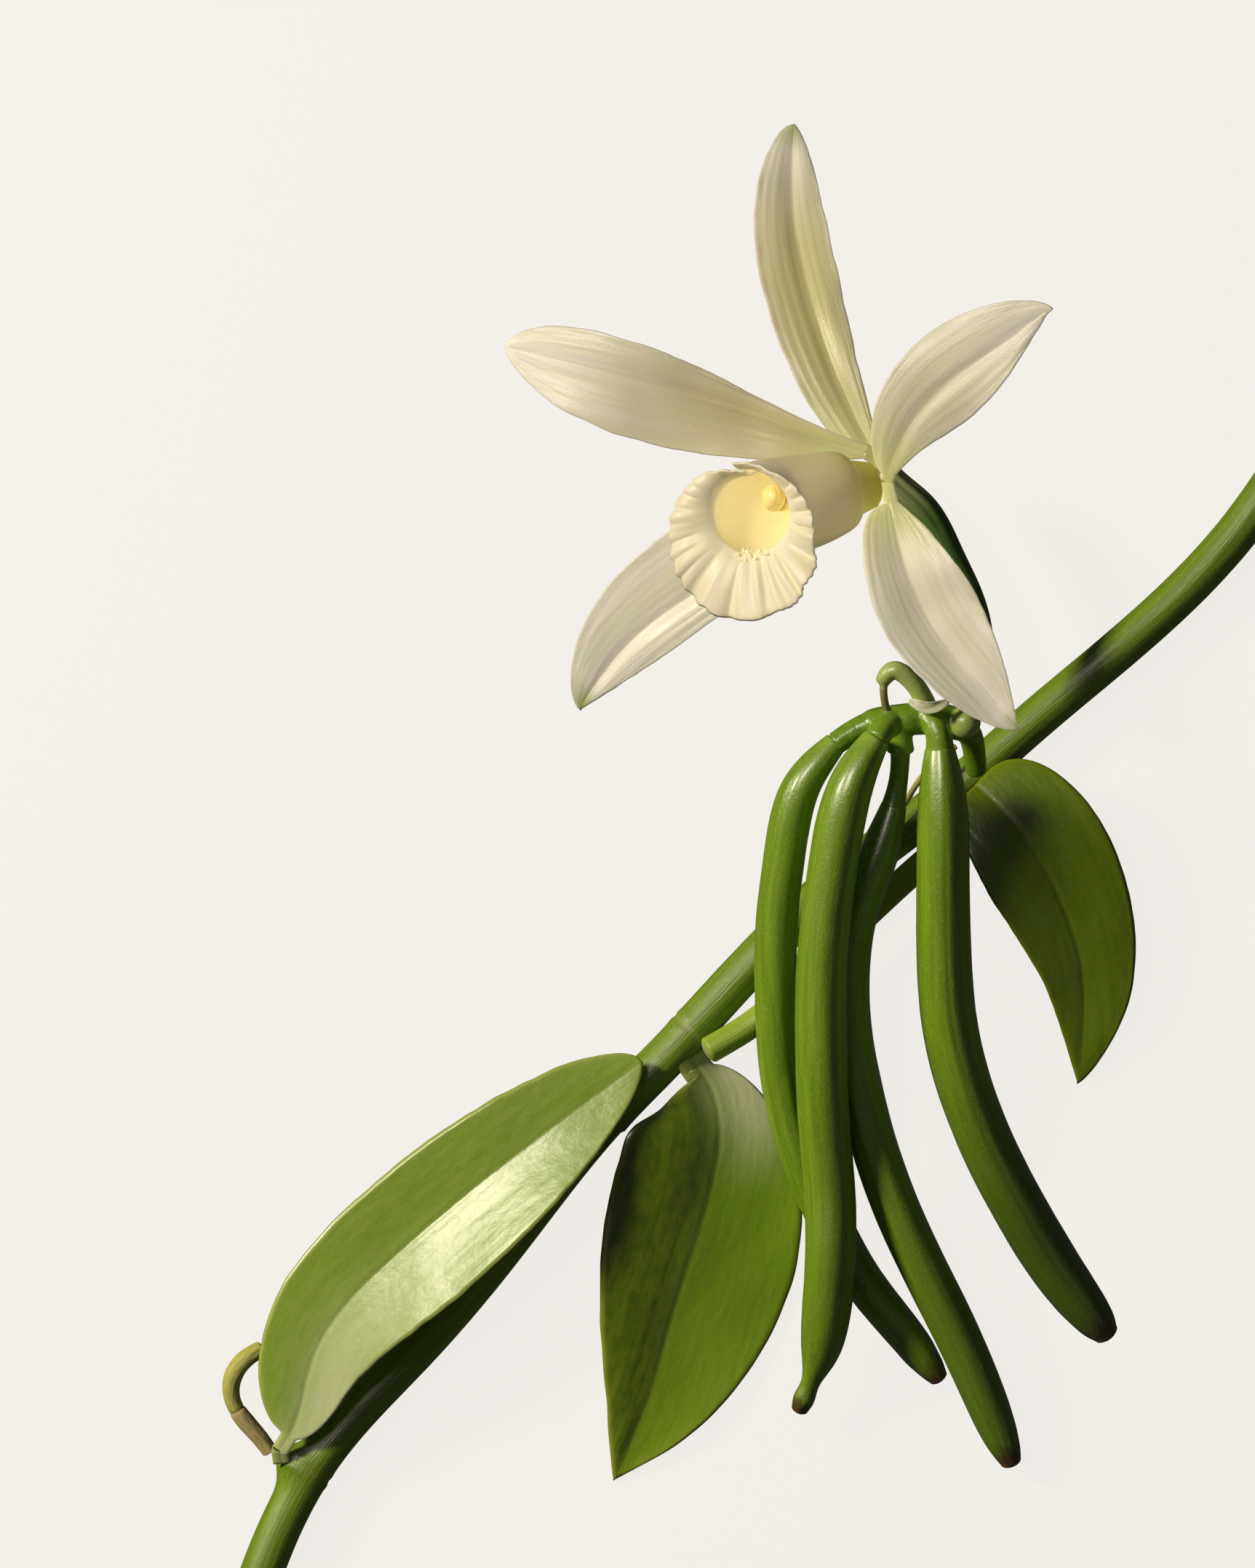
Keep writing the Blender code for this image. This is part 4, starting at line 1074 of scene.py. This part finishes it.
racemeForm = {
    "sides": 40, "rings": 60, "voxel": 0.24, "smoothing": 4, "softness": 0.35, "toneSteps": 60,
    "budRows": 24, "budSides": 36, "budSharpness": 2.5,
}
racemeStalks = {
    # route, radius along it, tone weights as (fresh green, pale yellow-green, brown)
    "rachis": ([(42.3, 21.2, 15.4), (41.7, 25.5, 19), (39.8, 29.5, 25), (34.5, 31.6, 28.5),
                (26.2, 31.4, 29.8), (19.3, 30.2, 29.4), (13.4, 26.8, 29.4)],
               [(0, 2.2), (0.3, 2.7), (0.5, 3.4), (0.7, 3.3), (0.9, 2.5), (1, 2.4)], (0.0, 0.0, 0.0)),
    "frontStalk": ([(25.5, 31.6, 30), (23, 29.6, 33), (21.5, 27.8, 34)], [(0, 2.6), (1, 2.6)],
                   (0.2, 0.0, 0.0)),
    "middleStalk": ([(26.2, 31, 30), (26.4, 24.8, 28), (26.1, 19.5, 26), (25.1, 13.9, 24.7)],
                    [(0, 2.7), (0.22, 2.6), (0.33, 2.9), (0.36, 2.75), (0.42, 2.0), (0.6, 1.95),
                     (0.8, 2.1), (1, 2.55)], (0.5, 0.0, 0.0)),
    "rightStalk": ([(31.5, 32.6, 30.5), (33.8, 29.4, 32), (34.5, 25.3, 31.6)],
                   [(0, 2.6), (0.5, 2.6), (1, 3)], (0.3, 0.0, 0.0)),
    "hook": ([(32.5, 32.5, 29.5), (31, 36, 31.5), (28, 40, 33.2), (24.9, 41.6, 33.6), (22.6, 39.3, 33)],
             [(0, 2.2), (0.4, 2), (0.8, 1.9), (1, 1.5)], (0.6, 0.6, 0.0)),
    "thread": ([(22.9, 39.6, 33.2), (22.9, 37, 33.4), (23.6, 33, 31.6)],
               [(0, 0.9), (0.5, 0.8), (1, 0.9)], (0.0, 0.3, 0.6)),
    "flowerStalk": ([(39.4, 31.6, 26.8), (41.2, 35.4, 26.9), (42.1, 40, 26.1)],
                    [(0, 2.6), (1, 2.7)], (0.0, 0.0, 0.0)),
}
bud = {"centre": (39.6, 31, 29.8), "radii": (3.3, 3.3, 3.1), "tones": (0.5, 0.45, 0.0)}
bract = {
    "rows": 60, "columns": 30, "thickness": 0.5, "edgeReach": 0.3,
    "route": [(28, 35.4, 34.6), (31.8, 34, 34.9), (36.8, 35.9, 33.6)],
    "left": (1.1, 0.7, 0.9), "right": (1.3, 0.9, 0.8), "base": 0.5, "cup": 0.6,
    "roll": [(0, 0), (1, 0)], "wave": 0, "stalk": 0,
}


def makeRacemeSkin():
    # flower stalk: fleshy green skin, paler on what grew last, brown on the scars
    material, tree, shader, place, _, marks = startMaterial("flowerStalkFleshySkin", {
        "Roughness": 0.3, "IOR": 1.46, "Subsurface Weight": 0.12,
        "Subsurface Radius": (1.0, 1.0, 0.3), "Subsurface Scale": 0.0015,
    })
    grain = patches(tree, place, (0.6, 0.6, 0.6), 0.3, 0.7)
    colour = blendColour(tree, grain, "638A12", "7FA428")
    colour = blendColour(tree, marks["X"], colour, "A6C444")
    colour = blendColour(tree, marks["Y"], colour, "CBD68C")
    colour = blendColour(tree, marks["Z"], colour, "7A5C2C")
    tree.links.new(colour, shader.inputs["Base Color"])
    addBump(tree, shader, grain, 0.00015, 0.4)
    return material


def makeRaceme():
    # the stalks and the bud are melted into one skin, which takes its tones from the nearest stalk
    allPoints, allFaces, start = [], [], 0
    paths, radii, tones = [], [], []
    for route, radius, tone in racemeStalks.values():
        made = stalk(dict(route=route, radius=radius, sides=racemeForm["sides"], rings=racemeForm["rings"]))
        allPoints.append(made["points"])
        allFaces += [[v + start for v in face] for face in made["faces"]]
        start += len(made["points"])
        t = np.linspace(0, 1, racemeForm["toneSteps"])
        paths.append(evenSteps(route, t))
        radii.append(along(radius, t))
        tones.append(tone)
    sphere = []
    top = 0.5 * math.pi - 0.02
    for latitude in np.linspace(-top, top, racemeForm["budRows"]):
        wide, high = math.cos(latitude), math.sin(latitude)
        for longitude in np.arange(racemeForm["budSides"]) * math.tau / racemeForm["budSides"]:
            sphere.append((wide * math.cos(longitude), wide * math.sin(longitude), high))
    allPoints.append(np.array(sphere) * bud["radii"] + bud["centre"])
    allFaces += [[v + start for v in face[::-1]]
                 for face in loftFaces(racemeForm["budRows"], racemeForm["budSides"])]
    points = np.concatenate(allPoints)
    mesh = bpy.data.meshes.new("racemeDraft")
    mesh.from_pydata(points.tolist(), [], allFaces)
    draft = bpy.data.objects.new("racemeDraft", mesh)
    bpy.context.scene.collection.objects.link(draft)
    remesh = draft.modifiers.new("remesh", "REMESH")
    remesh.mode, remesh.voxel_size = "VOXEL", racemeForm["voxel"]
    smooth = draft.modifiers.new("smooth", "SMOOTH")
    smooth.factor, smooth.iterations = 0.5, racemeForm["smoothing"]
    made = draft.evaluated_get(bpy.context.evaluated_depsgraph_get()).to_mesh()
    flat = np.zeros(len(made.vertices) * 3, np.float32)
    made.vertices.foreach_get("co", flat)
    points = flat.reshape(-1, 3).astype(float)
    faces = [list(face.vertices) for face in made.polygons]
    bpy.data.objects.remove(draft)
    weights, told = np.zeros(len(points)), np.zeros((len(points), 3))
    for path, radius, tone in zip(paths, radii, tones):
        away = np.min(np.linalg.norm(points[:, None] - path[None], axis=2) - radius[None], axis=1)
        weight = np.exp(-np.maximum(away, 0) / racemeForm["softness"])
        weights += weight
        told += weight[:, None] * np.array(tone)
    away = np.linalg.norm((points - bud["centre"]) / bud["radii"], axis=1) - 1
    weight = np.exp(-np.maximum(away * racemeForm["budSharpness"], 0) / racemeForm["softness"])
    told = (told + weight[:, None] * np.array(bud["tones"])) / (weights + weight)[:, None]
    addPiece("flowerStalk", points, faces, makeRacemeSkin(), ["raceme"], points,
             np.zeros_like(points), told, shades=False)


def makeBract():
    # dry bract: thin, pale and papery, with a faint yellow-green grain
    material, tree, shader, place, _, _ = startMaterial("dryBractPapery", {
        "Roughness": 0.55, "Subsurface Weight": 0.2, "Subsurface Radius": (1.0, 0.9, 0.5),
        "Subsurface Scale": 0.001,
    })
    grain = patches(tree, place, (2.0, 0.3, 1.0), 0.35, 0.65)
    colour = blendColour(tree, grain, "EEF0D0", "D2D8A0")
    tree.links.new(colour, shader.inputs["Base Color"])
    points, faces, place, share = blade(bract, lambda t, s, x, arc, half: 0.08 * wobble(x * 2, arc, 3, 411))
    addPiece("bractBlade", points, faces, material, ["bract"], place, share, np.zeros_like(place))


makeRaceme()
makeBract()
print("flower stalk made")

bpy.context.view_layer.update()
